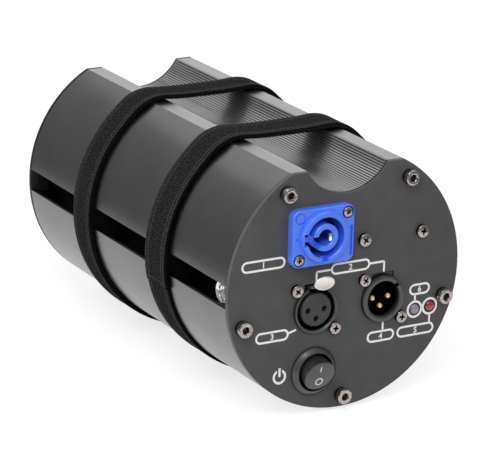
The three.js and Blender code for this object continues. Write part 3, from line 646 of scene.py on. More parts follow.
def build_tube():
    back, front = PLATE_THICKNESS - BODY_LENGTH, -PLATE_THICKNESS
    ends = back - OVERRUN, front + OVERRUN
    half = SLOT_WIDTH / 2
    rim = sqrt(TUBE_RADIUS ** 2 - half ** 2)
    tube = slice_off(rod(0, 0, TUBE_RADIUS, back, front, 288), *LAND_PLANE)
    cut(tube, rib_cutter(*ends), *both_sides(CHANNEL_FLOOR, TUBE_RADIUS + OVERRUN, half, *ends))

    def on_mouth(a, b):
        return upright_edge(a, b) and abs(abs(a.y) - half) < 0.01 * mm and abs(abs(a.x) - rim) < 0.05 * mm

    def on_land(a, b):
        return upright_edge(a, b) and abs(a.y - LAND_HEIGHT) < 0.01 * mm

    bevel_edges(tube, on_mouth, SLOT_CHAMFER, 1)
    bevel_edges(tube, on_land, 0.35 * mm, 3)
    cut(tube, *both_sides(CHANNEL_FLOOR, CHANNEL_TOP, CHANNEL_WIDTH / 2, *ends), tube_core(*ends))
    cut(tube, *[rod(x, y, PORT_BORE, *ends, 20) for x, y in PORTS])
    dress(tube, "body_tube", "tube_anodised", "housing_extrusion", smooth=20)


def through(x, y, radius, steps=32):
    return rod(x, y, radius, *PLATE_ENDS, steps)


def socket_opening(x, y):
    half = RECESS_WIDTH / 2
    recess = block(x - half, y, x + half, y + RECESS_TOP, *PLATE_ENDS)
    return weld(through(x, y, SOCKET_RING + HOLE_GAP / 2, 72), recess)


def diagonal_screws(x, y):
    return [(x - SCREW_OFFSET, y + SCREW_OFFSET), (x + SCREW_OFFSET, y - SCREW_OFFSET)]


def build_plate(side, panel, holes, screws):
    plate = slice_off(rod(0, 0, TUBE_RADIUS, -PLATE_THICKNESS, 0, 288), *LAND_PLANE)
    cut(plate, rod(0, SADDLE_HEIGHT, SADDLE_RADIUS + NOTCH_STEP, *PLATE_ENDS, 192))
    soften(plate, 0.22 * mm, 2, 60)
    ports = [through(x, y, PORT_BORE + HOLE_GAP / 2) for x, y in PORTS]
    cut(plate, *ports, *holes, *[through(x, y, PAN_SHANK + HOLE_GAP) for x, y in screws])
    dress(plate, f"{side}_panel", "panel_paint", f"{side}_plate", panel)


def build_plates():
    holes = [through(*INLET, INLET_BARREL + HOLE_GAP, 72), through(*SWITCH, SWITCH_BODY + HOLE_GAP, 72),
             socket_opening(*THRU), socket_opening(*INPUT),
             through(*SIGNAL_LAMP, LAMP_RADIUS + HOLE_GAP), through(*POWER_LAMP, LAMP_RADIUS + HOLE_GAP)]
    screws = [panel_place(f"{name}_screw_{i}") for name in PAN_SCREWS for i in (1, 2)]
    build_plate("front", FRONT, holes, screws)
    holes = [socket_opening(*place) for place in OUTPUTS]
    build_plate("rear", REAR, holes, [screw for place in OUTPUTS for screw in diagonal_screws(*place)])


# Screws

PAN_SCREWS = ["power_inlet", "thru_socket", "input_socket", "bracket"]
PAN_HEIGHT = 2.1 * mm
PAN_ROUND = 0.5 * mm
CAP_HEAD = 3.5 * mm
CAP_HEIGHT = 4 * mm


def cap_screw():
    """Socket-head screw: straight head with a rounded rim and a hexagon with a drilled foot."""
    rim = 0.45 * mm
    screw = turned([(CAP_SHANK, -14 * mm), (CAP_SHANK, 0), (CAP_HEAD - 0.15 * mm, 0), (CAP_HEAD, 0.15 * mm),
                    *arc(CAP_HEAD - rim, CAP_HEIGHT - rim, rim, rim, 90, 4)])
    hexagon = rod(0, 0, 1.78 * mm, CAP_HEIGHT - 2.8 * mm, CAP_HEIGHT + OVERRUN, 6)
    funnel = turned([(1.50 * mm, CAP_HEIGHT - 0.35 * mm), (2.05 * mm, CAP_HEIGHT + 0.2 * mm)])
    foot = turned([(0.1 * mm, CAP_HEIGHT - 3.5 * mm), (1.45 * mm, CAP_HEIGHT - 2.7 * mm)], 24)
    return soften(cut(screw, hexagon, funnel, foot), 0.07 * mm, 1, 45)


def pan_screw(head=2.8 * mm):
    """Screw with a rounded rim, a slightly crowned top and a tapered cross recess."""
    rim = PAN_HEIGHT - PAN_ROUND - 0.12 * mm
    screw = turned([(PAN_SHANK, -6.5 * mm), (PAN_SHANK, 0), (head - 0.1 * mm, 0), (head, 0.12 * mm),
                    *arc(head - PAN_ROUND, rim, PAN_ROUND, PAN_ROUND, 90, 5),
                    (head * 0.5, PAN_HEIGHT - 0.03 * mm), (head * 0.2, PAN_HEIGHT)])
    arms = []
    reach, foot = head * 0.68, PAN_HEIGHT - 1.5 * mm
    for angle in (0, 90):
        arm = block(-reach, -0.5 * mm, reach, 0.5 * mm, foot, PAN_HEIGHT + OVERRUN)
        select_faces(arm, lambda centre, normal: normal.z < -0.5)
        resize_selected((0.5, 0.7, 1), (0, 0, foot))
        arms.append(turn(arm, angle))
    funnel = turned([(0.3 * mm, PAN_HEIGHT - 1.6 * mm), (0.8 * mm, PAN_HEIGHT + 0.3 * mm)], 16)
    return soften(cut(screw, *arms, funnel), 0.05 * mm, 1, 50)


def build_screws():
    cap = cap_screw()
    for panel, side in ((FRONT, "front"), (REAR, "rear")):
        for i, place in enumerate(PORTS, 1):
            dress(shift(turn(copy_of(cap), 17 * i), *place), f"{side}_cap_screw_{i}", "screw_nickel",
                  f"{side}_plate_screw_{i}", panel)
    for name in PAN_SCREWS:
        low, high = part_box(f"{name}_screw_1")
        pan = pan_screw((high.x - low.x) / 2)
        for i in (1, 2):
            node = f"{name}_screw_{i}"
            dress(shift(turn(copy_of(pan), 20 + 31 * i), *panel_place(node), proud(node) - PAN_HEIGHT),
                  f"{name}_cross_screw_{i}", "screw_nickel", node)
        discard(pan)
    pan = pan_screw()
    for i, output in enumerate(OUTPUTS, 1):
        for k, place in enumerate(diagonal_screws(*output), 1):
            dress(shift(turn(copy_of(pan), 23 * i + 40 * k), *place), f"output_{i}_cross_screw_{k}",
                  "screw_nickel", panel=REAR)
    discard(cap, pan)


# Power inlet

INLET_WIDTH = 31 * mm
INLET_HEIGHT = 26 * mm
INLET_CORNER = 3.5 * mm
INLET_THICKNESS = 4.1 * mm
INLET_FACE = 6.4 * mm
INLET_BORE = 9.1 * mm
INLET_DEPTH = 12.6 * mm
INLET_CORE = 6.2 * mm
INLET_CORE_BORE = 3.7 * mm
INLET_CORE_FACE = 6.2 * mm
INLET_MOUTH_FLOOR = 1.2 * mm
INLET_SCREWS = [(12 * mm, 9.5 * mm), (-12 * mm, -9.5 * mm)]
INLET_BADGE = (-12 * mm, 9.5 * mm)
POCKET_RADIUS = 2.9 * mm
POCKET_FLOOR = 2.3 * mm


def inlet_flange():
    """Plate with round corners and a rounded front rim."""
    across, up = INLET_WIDTH / 2, INLET_HEIGHT / 2
    flange = block(-across, -up, across, up, 0, INLET_THICKNESS)
    bevel_edges(flange, upright_edge, INLET_CORNER, 10)
    return bevel_edges(flange, lambda a, b: min(a.z, b.z) > INLET_THICKNESS - TINY, 0.7 * mm)


def build_inlet():
    flange = inlet_flange()
    ring = turned([(11.7 * mm, INLET_THICKNESS - 1 * mm), (11.7 * mm, INLET_THICKNESS),
                   (11.35 * mm, INLET_FACE - 0.3 * mm), (11.1 * mm, INLET_FACE)], 96)
    barrel = rod(0, 0, INLET_BARREL, -26 * mm, 1 * mm, 72)
    shell = weld(flange, ring, barrel)
    bore = turned([(INLET_BORE, -INLET_DEPTH), (INLET_BORE, INLET_FACE - 0.3 * mm),
                   (INLET_BORE + 0.3 * mm, INLET_FACE), (INLET_BORE + 0.3 * mm, INLET_FACE + 1 * mm)], 96)
    reach = INLET_BORE + 1.9 * mm
    side_key = block(-reach, -2.8 * mm, 0, 2.8 * mm, -INLET_DEPTH, INLET_FACE + OVERRUN)
    foot_key = block(-1.9 * mm, 0.4 * mm - reach, 1.3 * mm, 0, 3.4 * mm, INLET_FACE + OVERRUN)
    pockets = [rod(x, y, POCKET_RADIUS, POCKET_FLOOR, INLET_FACE, 40) for x, y in INLET_SCREWS]
    shanks = [rod(x, y, PAN_SHANK + HOLE_GAP, -OVERRUN, INLET_FACE, 24) for x, y in INLET_SCREWS]
    groove = block(13.3 * mm, -10.6 * mm, 14.5 * mm, 3.5 * mm, 3.1 * mm, INLET_FACE)
    cut(shell, bore, side_key, foot_key, *pockets, *shanks, bevel_edges(groove, upright_edge, 0.45 * mm, 3))
    badge = rod(*INLET_BADGE, 2.5 * mm, 3.6 * mm, INLET_FACE, 40)
    cut(badge, rod(*INLET_BADGE, 2.05 * mm, 3 * mm, INLET_FACE + OVERRUN, 40))
    arrow = turn(rod(0, 0, 0.9 * mm, 3.6 * mm, INLET_FACE, 3), 180)
    cut(shell, badge, shift(arrow, -13.4 * mm, 0.2 * mm))
    rim = 0.3 * mm
    core = turned([(INLET_CORE, -14 * mm), (INLET_CORE, INLET_CORE_FACE - rim),
                   (INLET_CORE - rim, INLET_CORE_FACE), (INLET_CORE_BORE + rim, INLET_CORE_FACE),
                   (INLET_CORE_BORE, INLET_CORE_FACE - rim), (INLET_CORE_BORE, -6.8 * mm)], 72)
    mouth = block(-INLET_CORE - OVERRUN, -3.1 * mm, 0, 0.9 * mm, INLET_MOUTH_FLOOR, INLET_FACE)
    fall = turn(block(-8 * mm, 0, 0, 4 * mm, INLET_MOUTH_FLOOR, INLET_FACE), 35)
    below = block(-9 * mm, -9 * mm, 0, -3.05 * mm, 0, 9 * mm)
    weld(mouth, combine(shift(fall, -1.5 * mm, -3.1 * mm), [below], "INTERSECT"))
    tie = block(-INLET_BORE - 0.6 * mm, -2.5 * mm, -4 * mm, -0.2 * mm, -14.6 * mm, INLET_MOUTH_FLOOR)
    weld(shell, cut(core, mouth), tie)
    soften(shell, 0.1 * mm, 2, 50)
    dress(shift(shell, *INLET), "inlet_moulding", "inlet_blue", "power_inlet_housing")
    low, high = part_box("power_inlet_contact")
    left, right = low.x - INLET[0], high.x - INLET[0]
    half = (high.z - low.z) / 2
    blade = block(left, -half, right, half, FRONT_FACE - high.y, FRONT_FACE - low.y)
    bevel_edges(blade, lambda a, b: a.z > 0 and b.z > 0 and abs(a.x - b.x) < TINY, 0.5 * mm, 4)
    blade = shift(soften(blade, 0.1 * mm), *INLET)
    dress(blade, "inlet_contact_blade", "contact_silver", "power_inlet_contact")


# Signal sockets

LATCH_WIDTH = 7.2 * mm
LATCH_REACH = 7.6 * mm
PAD_CENTRE = 14.1 * mm
INSERT_RADIUS = 7.6 * mm
INSERT_DEPTH = 18 * mm
SOCKET_DEPTH = 20 * mm
CONTACT_CIRCLE = 4.1 * mm
CONTACTS = [(CONTACT_CIRCLE * cos(radians(a)), CONTACT_CIRCLE * sin(radians(a))) for a in (0, 180, -90)]


def socket_flange():
    half = 12.2 * mm
    flange = block(-half, -half, half, half, -4.5 * mm, -2 * mm)
    bevel_edges(flange, upright_edge, 1 * mm, 3)
    holes = [rod(x, y, PAN_SHANK + HOLE_GAP, -SOCKET_DEPTH, 0, 20) for x, y in diagonal_screws(0, 0)]
    return cut(flange, *holes)


def socket_shell():
    """Ring, bore and square rear flange, with the slot that the latch is pushed into."""
    face = proud("thru_socket_shell")
    body = turned([(SOCKET_RING, -SOCKET_DEPTH), (SOCKET_RING, face - 0.4 * mm),
                   (SOCKET_RING - 0.1 * mm, face - 0.1 * mm), (SOCKET_RING - 0.4 * mm, face),
                   (SOCKET_BORE + 0.5 * mm, face), (SOCKET_BORE, face - 0.5 * mm),
                   (SOCKET_BORE, -INSERT_DEPTH)], 96)
    half = RECESS_WIDTH / 2 - 0.3 * mm
    hood = block(-half, 9.6 * mm, half, RECESS_TOP - 0.3 * mm, -13 * mm, -2.1 * mm)
    weld(body, socket_flange(), hood)
    slot_half = LATCH_WIDTH / 2 + 0.6 * mm
    throat = block(-slot_half, 0, slot_half, RECESS_TOP - 0.9 * mm, -11 * mm, 0)
    window = block(-slot_half, 0, slot_half, RECESS_TOP + OVERRUN, -2 * mm, face + OVERRUN)
    return soften(cut(body, throat, window), 0.08 * mm, 1, 50)


def contact_block():
    """Insert with three chamfered contact holes and a key slot at its top."""
    level = proud("thru_socket_insert")
    block_body = turned([(INSERT_RADIUS, -INSERT_DEPTH), (INSERT_RADIUS, level - 0.4 * mm),
                         (INSERT_RADIUS - 0.4 * mm, level)], 96)
    hole = [(1.25 * mm, -11.5 * mm), (1.25 * mm, level - 0.35 * mm), (1.6 * mm, level),
            (1.6 * mm, level + OVERRUN)]
    holes = [shift(turned(hole, 32), x, y) for x, y in CONTACTS]
    key = block(-1 * mm, INSERT_RADIUS - 1 * mm, 1 * mm, INSERT_RADIUS + OVERRUN, -INSERT_DEPTH - OVERRUN,
                OVERRUN)
    return soften(cut(block_body, *holes, key), 0.07 * mm, 1, 50)


def release_latch():
    """Bent strip that ends in the oval push pad, which has a rolled rim and a shallow dish."""
    half = LATCH_WIDTH / 2
    strip = block(-half, 9.6 * mm, half, 10.6 * mm, -7 * mm, 0)
    for lift, rise in ((LATCH_REACH - 1 * mm, 2.5 * mm), (0.4 * mm, 0)):
        top = max(v.co.z for v in strip.data.vertices)
        select_faces(strip, lambda centre, normal: centre.z > top - TINY)
        bpy.ops.mesh.extrude_region_move(TRANSFORM_OT_translate={"value": (0, rise, lift)})
        settle()
    pad = turned([(4.7 * mm, LATCH_REACH - 1 * mm), (5.1 * mm, LATCH_REACH - 0.75 * mm),
                  (5.1 * mm, LATCH_REACH - 0.25 * mm), (4.8 * mm, LATCH_REACH),
                  (4.3 * mm, LATCH_REACH), (3.6 * mm, LATCH_REACH - 0.15 * mm)], 72)
    select_faces(pad)
    resize_selected((1, 0.6, 1))
    weld(strip, shift(pad, y=PAD_CENTRE))
    return soften(strip, 0.12 * mm, 2, 35)


def build_sockets():
    parts = [("ring", socket_shell(), "socket_black", "shell"),
             ("contact_block", contact_block(), "insert_grey", "insert"),
             ("release", release_latch(), "latch_metal", "latch")]
    places = [("thru", "thru_socket", "thru_latch", THRU, FRONT)]
    places += [(f"output_{i}", f"output_socket_{i}", f"output_latch_{i}", place, REAR)
               for i, place in enumerate(OUTPUTS, 1)]
    for name, node, latch, place, panel in places:
        for part, model, finish, suffix in parts:
            dress(shift(copy_of(model), *place), f"{name}_{part}", finish, f"{node}_{suffix}", panel,
                  latch if part == "release" else "body")
    discard(*[model for _, model, _, _ in parts])


def build_input():
    """Plug-shaped socket: deep bore with a key groove, three gold pins and a floor painted near-black as
    shade.
    """
    face = proud("input_socket_shell")
    floor = face - 14 * mm
    back = floor - 6 * mm
    bore = 8.1 * mm
    shell = turned([(SOCKET_RING, back), (SOCKET_RING, face - 0.7 * mm),
                    (SOCKET_RING - 0.2 * mm, face - 0.2 * mm), (SOCKET_RING - 0.7 * mm, face),
                    (bore + 0.8 * mm, face), (bore + 0.2 * mm, face - 0.25 * mm), (bore, face - 0.8 * mm),
                    (bore, floor)], 96)
    half = RECESS_WIDTH / 2 - 0.3 * mm
    tongue = block(-half, 9 * mm, half, RECESS_TOP - 0.3 * mm, -2 * mm, -0.6 * mm)
    weld(shell, socket_flange(), tongue)
    groove = turn(block(bore - 1 * mm, -1 * mm, bore + 1.5 * mm, 1 * mm, floor, face + OVERRUN), 40)
    cut(shell, groove, rod(0, 0, bore, back - OVERRUN, floor + OVERRUN, 72))
    dress(shift(soften(shell, 0.08 * mm, 1, 50), *INPUT), "input_ring", "socket_black", "input_socket_shell")
    bush = rod(0, 0, bore - 0.1 * mm, back, floor, 72)
    cut(bush, *[rod(x, y, 1.3 * mm, back - OVERRUN, floor + OVERRUN, 24) for x, y in CONTACTS])
    # The contact block takes a near-black painted shade instead of the grey of its insert.
    dress(shift(soften(bush, 0.15 * mm), *INPUT), "input_contact_block", "insert_grey", "input_socket_insert",
          material=FINISHES["floor_painted_shade"])
    tip = proud("input_socket_pin_1")
    nose = 0.85 * mm
    pin = turned([(1.2 * mm, tip - 21 * mm), *arc(0.35 * mm, tip - nose, nose, nose, 75, 5)], 32)
    for i, (x, y) in enumerate(CONTACTS, 1):
        dress(shift(copy_of(pin), INPUT[0] + x, INPUT[1] + y), f"input_pin_{i}", "pin_gold",
              f"input_socket_pin_{i}")
    discard(pin)


# Switch

ROCKER_TILT = 10
ROCKER_PIVOT = 2.5 * mm
ROCKER_RADIUS = 7.4 * mm
ROCKER_FOOT = -5 * mm
ROCKER_HIGH = 5.2 * mm
ROCKER_LOW = 2.2 * mm
ROCKER_MIDDLE = (ROCKER_HIGH + ROCKER_LOW) / 2
ROCKER_SLOPE = atan2(ROCKER_HIGH - ROCKER_LOW, 2 * (ROCKER_RADIUS + OVERRUN))


def build_switch():
    """Round bezel with a chamfered rim, and the rocker, pressed at its foot."""
    rim = in_mm((11, 0), (11.1, 0.1), (11.1, 0.9), (11, 1.2), (9.1, 2.8), (8.9, 2.9), (8.8, 2.9), (8.6, 2.7),
                (8.6, -9))
    bezel = turned([(SWITCH_BODY, -22 * mm), (SWITCH_BODY, 0), *rim], 96)
    dress(shift(bezel, *SWITCH), "switch_bezel_ring", "socket_black", "switch_bezel")
    rocker = rod(0, 0, ROCKER_RADIUS, ROCKER_FOOT, ROCKER_HIGH + OVERRUN, 96)
    slice_off(rocker, (0, 0, ROCKER_MIDDLE), (0, -sin(ROCKER_SLOPE), cos(ROCKER_SLOPE)))
    turn(soften(rocker, 0.35 * mm, 3, 25), ROCKER_TILT, "X")
    dress(shift(rocker, *SWITCH, ROCKER_PIVOT), "switch_rocker_cap", "socket_black", "switch_rocker",
          body="rocker")
    marks = group([stroke((-0.3 * mm, 2.4 * mm), (-0.3 * mm, 5.2 * mm), 0.6 * mm),
                   ring_print(0.3 * mm, -3.1 * mm, 1.95 * mm, 1.4 * mm, 32)])
    marks = shift(turn(marks, degrees(ROCKER_SLOPE), "X"), z=ROCKER_MIDDLE)
    turn(marks, ROCKER_TILT, "X")
    dress(shift(marks, *SWITCH, ROCKER_PIVOT), "switch_marks", "print_white", body="rocker")


# Lamps


def build_lamps():
    stand, dome = 1.2 * mm, 1.7 * mm
    foot = in_mm((2.5, -4.6), (2.5, -3.3), (2.9, -3.3), (2.9, -2.3), (2.5, -2.3))
    lens = turned([*foot, *arc(0, stand - dome, LAMP_RADIUS, dome, 86, 8)])
    for name, place, node, finish in (("signal_lamp", SIGNAL_LAMP, "led_signal", "lamp_grey"),
                                      ("power_lamp", POWER_LAMP, "led_power", "lamp_red")):
        dress(shift(copy_of(lens), *place), name, finish, node, smooth=60)
    discard(lens)


# Nut in the left slot


def build_nut():
    """Round chromed nut with a raised rim and a threaded bore, facing out of the slot."""
    low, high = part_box("slot_nut")
    height = high.x - low.x
    radius = (high.y - low.y) / 2
    bore = 3 * mm
    face = in_mm((0, 0.55), (0.12, 0.3), (0.35, 0.1), (0.65, 0), (1, 0.06), (1.3, 0.25), (1.5, 0.6),
                 (1.75, 0.6), (1.9, 0.25))
    profile = [(radius, 0), *[(radius - inward, height - down) for inward, down in face],
               (bore + 0.35 * mm, height - 0.2 * mm), (bore + 0.2 * mm, height - 0.4 * mm)]
    pitch = 1 * mm
    turns = int((height - 1.2 * mm) / pitch)
    for thread_turn in range(turns):
        level = height - 0.9 * mm - thread_turn * pitch
        profile += [(bore, level), (bore + 0.45 * mm, level - pitch / 2)]
    nut = turned(profile + [(bore, 0.2 * mm)], 72)
    cut(nut, rod(0, 0, bore - 0.02 * mm, -OVERRUN, 0.5 * mm, 72))
    facing = Matrix.Translation((high.x, (low.y + high.y) / 2, (low.z + high.z) / 2))
    nut.data.transform(facing @ Matrix.Rotation(-pi / 2, 4, "Y"))
    dress(nut, "slot_nut_body", "nut_chrome", "slot_nut", None, "slot_nut")


# Straps

STRAP_THICKNESS = 1 * mm
STRAP_REST = 0.35 * mm
STRAP_STEP = 1.5 * mm
LINE_STEP = STRAP_STEP / 4
LAP_RAMP = 11 * mm
LAP_GAP = -0.06 * mm
EDGE_LOOP = 0.3 * mm
EDGE_INSETS = (1 * mm, 2.8 * mm)
CORNER_BEND = 7 * mm
CORNER_LIFT = 1 * mm
CORNER_REACH = 11 * mm
EDGE_TOOTH = 0.45 * mm
TOOTH_LEVEL = -0.3 * mm
LAND_ANGLE = asin(LAND_HEIGHT / TUBE_RADIUS)
LAND_EDGE = Vector((TUBE_RADIUS * cos(LAND_ANGLE), LAND_HEIGHT))

# The two straps: name, first and last angle, weave, how far forward, drift, sway and width
STRAPS = [("front", -26.5, 191.8, FINISHES["strap_fabric"], 0.1 * mm, 0.8 * mm, 1.6 * mm, 1.16),
          ("rear", -55.8, 255, PILE, 0.8 * mm, 0.1 * mm, 0, 1.02)]


class StrapLoop:
    """The line round the body and straight over the saddle, seen from the front. Distances along it
    run from a first angle up the right side, over the saddle, down the left side and under the body."""

    def __init__(self, first_angle):
        start = LAND_ANGLE - CORNER_BEND / TUBE_RADIUS
        right = self.corner_curve(start, CORNER_BEND)
        left = [Vector((-p.x, p.y)) for p in reversed(right)]
        first = radians(first_angle)
        line = self.round(first, start)[:-1] + right + left + self.round(pi - start, 2 * pi + first)[1:]
        self.points = self.evenly(line)
        self.length = LINE_STEP * len(self.points)

    def round(self, low, high):
        steps = ceil((high - low) * TUBE_RADIUS / (0.3 * mm))
        angles = [low + (high - low) * i / steps for i in range(steps + 1)]
        return [Vector((TUBE_RADIUS * cos(a), TUBE_RADIUS * sin(a))) for a in angles]

    def corner_curve(self, start, bend):
        """Parabola over a land's outer edge."""
        low = Vector((TUBE_RADIUS * cos(start), TUBE_RADIUS * sin(start)))
        peak = LAND_EDGE
        high = Vector((peak.x - bend, LAND_HEIGHT))
        shares = [i / 12 for i in range(13)]
        return [low * (1 - s) ** 2 + peak * (2 * s * (1 - s)) + high * s ** 2 for s in shares]

    def evenly(self, line):
        """The same line with its points a line step apart, closed on itself."""
        total = sum((b - a).length for a, b in zip(line, line[1:]))
        count = round(total / LINE_STEP)
        gap = total / count
        points, run, target = [], 0, 0
        for a, b in zip(line, line[1:]):
            span = (b - a).length
            while target <= run + span and len(points) < count:
                points.append(a.lerp(b, (target - run) / span))
                target += gap
            run += span
        return points

    def at(self, distance):
        """Point and outward direction at a distance along the line."""
        count = len(self.points)
        place = distance / self.length * count
        index = int(place // 1)
        share = place - index
        point = self.points[index % count].lerp(self.points[(index + 1) % count], share)
        back, ahead = self.points[(index - 3) % count], self.points[(index + 4) % count]
        along = (ahead - back).normalized()
        outward = Vector((along.y, -along.x))
        away = (Vector((abs(point.x), point.y)) - LAND_EDGE).length / CORNER_REACH
        return point + outward * CORNER_LIFT * exp(-away * away), outward


def wind(piece, loop, centre, length, drift, sway, width):
    """Winds a piece that lies flat, X along the strap, Y across it and Z outwards, round the body.
    The strap drifts and sways sideways on its way, so that its lap doesn't hide the layer under it."""
    inner = STRAP_REST + STRAP_THICKNESS / 2
    lift = STRAP_THICKNESS + LAP_GAP
    for vertex in piece.data.vertices:
        along, across, high = vertex.co
        share = min(1, max(0, (along - loop.length + LAP_RAMP) / LAP_RAMP))
        offset = inner + lift * share * share * (3 - 2 * share) + high
        point, outward = loop.at(along)
        x, y = point + outward * offset
        aside = drift * (1 - along / length) - sway * sin(pi * along / length)
        vertex.co = (x, max(y, -AXIS_HEIGHT), centre + across * width + aside)
    piece.data.update()
    return piece


def flat_uv(piece):
    """Keeps the flat strap's own coordinates, in metres, for its weave."""
    layer = piece.data.uv_layers.active or piece.data.uv_layers.new(name="weave")
    for corner in piece.data.loops:
        place = piece.data.vertices[corner.vertex_index].co
        layer.data[corner.index].uv = (place.x, place.y)
    return piece


def flat_strap(length):
    settle()
    steps = ceil(length / STRAP_STEP)
    bpy.ops.mesh.primitive_grid_add(x_subdivisions=steps, y_subdivisions=8, size=1,
                                    location=(length / 2, 0, 0))
    bpy.context.object.scale = (length, STRAP_WIDTH, 1)
    strap = modify(fresh(), "SOLIDIFY", thickness=STRAP_THICKNESS, offset=0)
    return modify(strap, "BEVEL", width=0.35 * mm, segments=3, limit_method="ANGLE", angle_limit=radians(60))


def bead_row(radius, count, start, angle=0):
    """Row of small loops of yarn, a rib apart, from a start point at an angle to the strap's length."""
    settle()
    bpy.ops.mesh.primitive_uv_sphere_add(segments=6, ring_count=4, radius=radius)
    row = modify(fresh(), "ARRAY", count=count, use_relative_offset=False, use_constant_offset=True,
                 constant_offset_displace=(STRAP_RIB, 0, 0))
    return shift(turn(row, angle), *start)


def edge_rows(length, radius, inset, level):
    """Two rows of loops along the strap, as far in from its edges as the inset says."""
    count = int(length / STRAP_RIB)
    aside = STRAP_WIDTH / 2 - inset
    return [bead_row(radius, count, (STRAP_RIB / 2, across, level)) for across in (-aside, aside)]


def edge_loops(length):
    """Rows of small stitches along both edges, and a seam of them across the lapped end."""
    level = STRAP_THICKNESS / 2 - EDGE_LOOP / 2
    rows = [row for inset in EDGE_INSETS for row in edge_rows(length, EDGE_LOOP, inset, level)]
    seam = ceil((STRAP_WIDTH - 2 * mm) / STRAP_RIB)
    rows.append(bead_row(EDGE_LOOP, seam, (length - 2.5 * mm, 1 * mm - STRAP_WIDTH / 2, level), 90))
    return group(rows)


def build_strap(side, first_angle, last_angle, weave, forward, drift, sway, width):
    name, node = f"{side}_strap", f"strap_{side}"
    loop = StrapLoop(first_angle)
    full = loop.length
    end = next(i for i, p in enumerate(loop.points) if i > 10 and passed(p, first_angle, last_angle))
    length = full + end / len(loop.points) * full
    low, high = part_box(node)
    centre = FRONT_FACE - (low.y + high.y) / 2 + forward
    course = (loop, centre, length, drift, sway, width)
    teeth = edge_rows(length, EDGE_TOOTH, 0, TOOTH_LEVEL)
    strap = wind(flat_uv(group([flat_strap(length), *teeth])), *course)
    dress(strap, name, "strap_fabric", node, smooth=50, material=weave)
    rows = wind(flat_uv(edge_loops(length)), *course)
    dress(rows, f"{name}_edging", "strap_fabric", smooth=60, material=THREAD)


def passed(point, first_angle, last_angle):
    angle = degrees(atan2(point.y, point.x)) - first_angle
    return angle % 360 >= last_angle - first_angle


# Prints on the panels

PRINT_BACK = 0.01 * mm
PRINT_FRONT = 0.05 * mm
PRINT_LINE = 0.95 * mm
PILL_HEIGHT = 5.3 * mm


def round_bar(left, right, y, height, *ends):
    """Bar with round ends."""
    bar = block(left, y - height / 2, right, y + height / 2, *ends)
    return bevel_edges(bar, upright_edge, height * 0.499, 10)


def pill(left, right, y, height=PILL_HEIGHT):
    """Outline with round ends."""
    outline = round_bar(left, right, y, height, PRINT_BACK, PRINT_FRONT)
    inner = height - 2 * PRINT_LINE
    return cut(outline, round_bar(left + PRINT_LINE, right - PRINT_LINE, y, inner, -OVERRUN, OVERRUN))


def stroke(start, end, width=PRINT_LINE):
    (x0, y0), (x1, y1) = start, end
    half = hypot(x1 - x0, y1 - y0) / 2
    line = block(-half, -width / 2, half, width / 2, PRINT_BACK, PRINT_FRONT)
    return shift(turn(line, degrees(atan2(y1 - y0, x1 - x0))), (x0 + x1) / 2, (y0 + y1) / 2)


def ring_print(x, y, outer, inner, steps=48):
    disc = rod(x, y, outer, PRINT_BACK, PRINT_FRONT, steps)
    return cut(disc, rod(x, y, inner, -OVERRUN, OVERRUN, steps))


def number(text, x, y, size):
    settle()
    bpy.ops.object.text_add()
    figure = bpy.context.object
    figure.data.body = str(text)
    figure.data.size = size
    figure.data.extrude = (PRINT_FRONT - PRINT_BACK) / 2
    figure.data.offset = 0.07 * mm
    bpy.ops.object.convert(target="MESH")
    figure = bpy.context.object
    low = [min(v.co[i] for v in figure.data.vertices) for i in range(2)]
    high = [max(v.co[i] for v in figure.data.vertices) for i in range(2)]
    middle = PRINT_BACK + (PRINT_FRONT - PRINT_BACK) / 2
    return shift(figure, x - (low[0] + high[0]) / 2, y - (low[1] + high[1]) / 2, middle)


def build_prints():
    marks = []
    pills = [(-52.4, -30.6, 12.8), (-7.4, 12.7, 5.8), (-44.6, -27.9, -20.7), (12.5, 26.8, -29),
             (28.1, 47.7, -29), (33.9, 44.8, -9.9)]
    for figure, (left, right, y) in enumerate(pills, 1):
        marks.append(pill(left * mm, right * mm, y * mm))
        marks.append(number(figure, (left + right) / 2 * mm, y * mm, 3.8 * mm))
    lines = [[(-7.4, 5.8), (-14.6, 5.8), (-14.6, 1.7)], [(12.7, 5.8), (20, 5.8), (20, 1.0)],
             [(-27.9, -20.3), (-24.2, -19.3)], [(20.6, -26.5), (20.6, -22.7)],
             [(45.2, -26.5), (45.2, -22.8)], [(37.1, -12.4), (37.1, -15.2)]]
    for line in lines:
        places = in_mm(*line)
        marks += [stroke(start, end) for start, end in zip(places, places[1:])]
    for x, y in (SIGNAL_LAMP, POWER_LAMP):
        marks.append(ring_print(x, y, 4.1 * mm, 3.05 * mm))
    x, y = -31.9 * mm, -40 * mm
    gap = block(x - 1.3 * mm, y, x + 1.3 * mm, y + 5 * mm, -OVERRUN, OVERRUN)
    standby = cut(ring_print(x, y, 3.4 * mm, 2.3 * mm), gap)
    marks += [standby, stroke((x, y), (x, y + 4.1 * mm), 1.1 * mm)]
    dress(group(marks), "front_prints", "print_white")
    labels = []
    for figure, (x, y) in enumerate(OUTPUTS, 1):
        across, up = x - 11 * mm, y - 10.9 * mm
        labels += [pill(across - 3.2 * mm, across + 3.2 * mm, up, 6 * mm), number(figure, across, up, 4 * mm)]
    dress(group(labels), "rear_prints", "print_white", panel=REAR)


# Parts behind the panels keep their CAD shape

INNER_FINISHES = {"board_bracket": "bracket_steel", "splitter_board": "board_green",
                  "output_board": "board_green", "power_converter": "converter_black"}


def finish_inner_parts():
    for node, finish in INNER_FINISHES.items():
        for place in bpy.data.objects[node].material_slots:
            place.material = FINISHES[finish]


# Studio

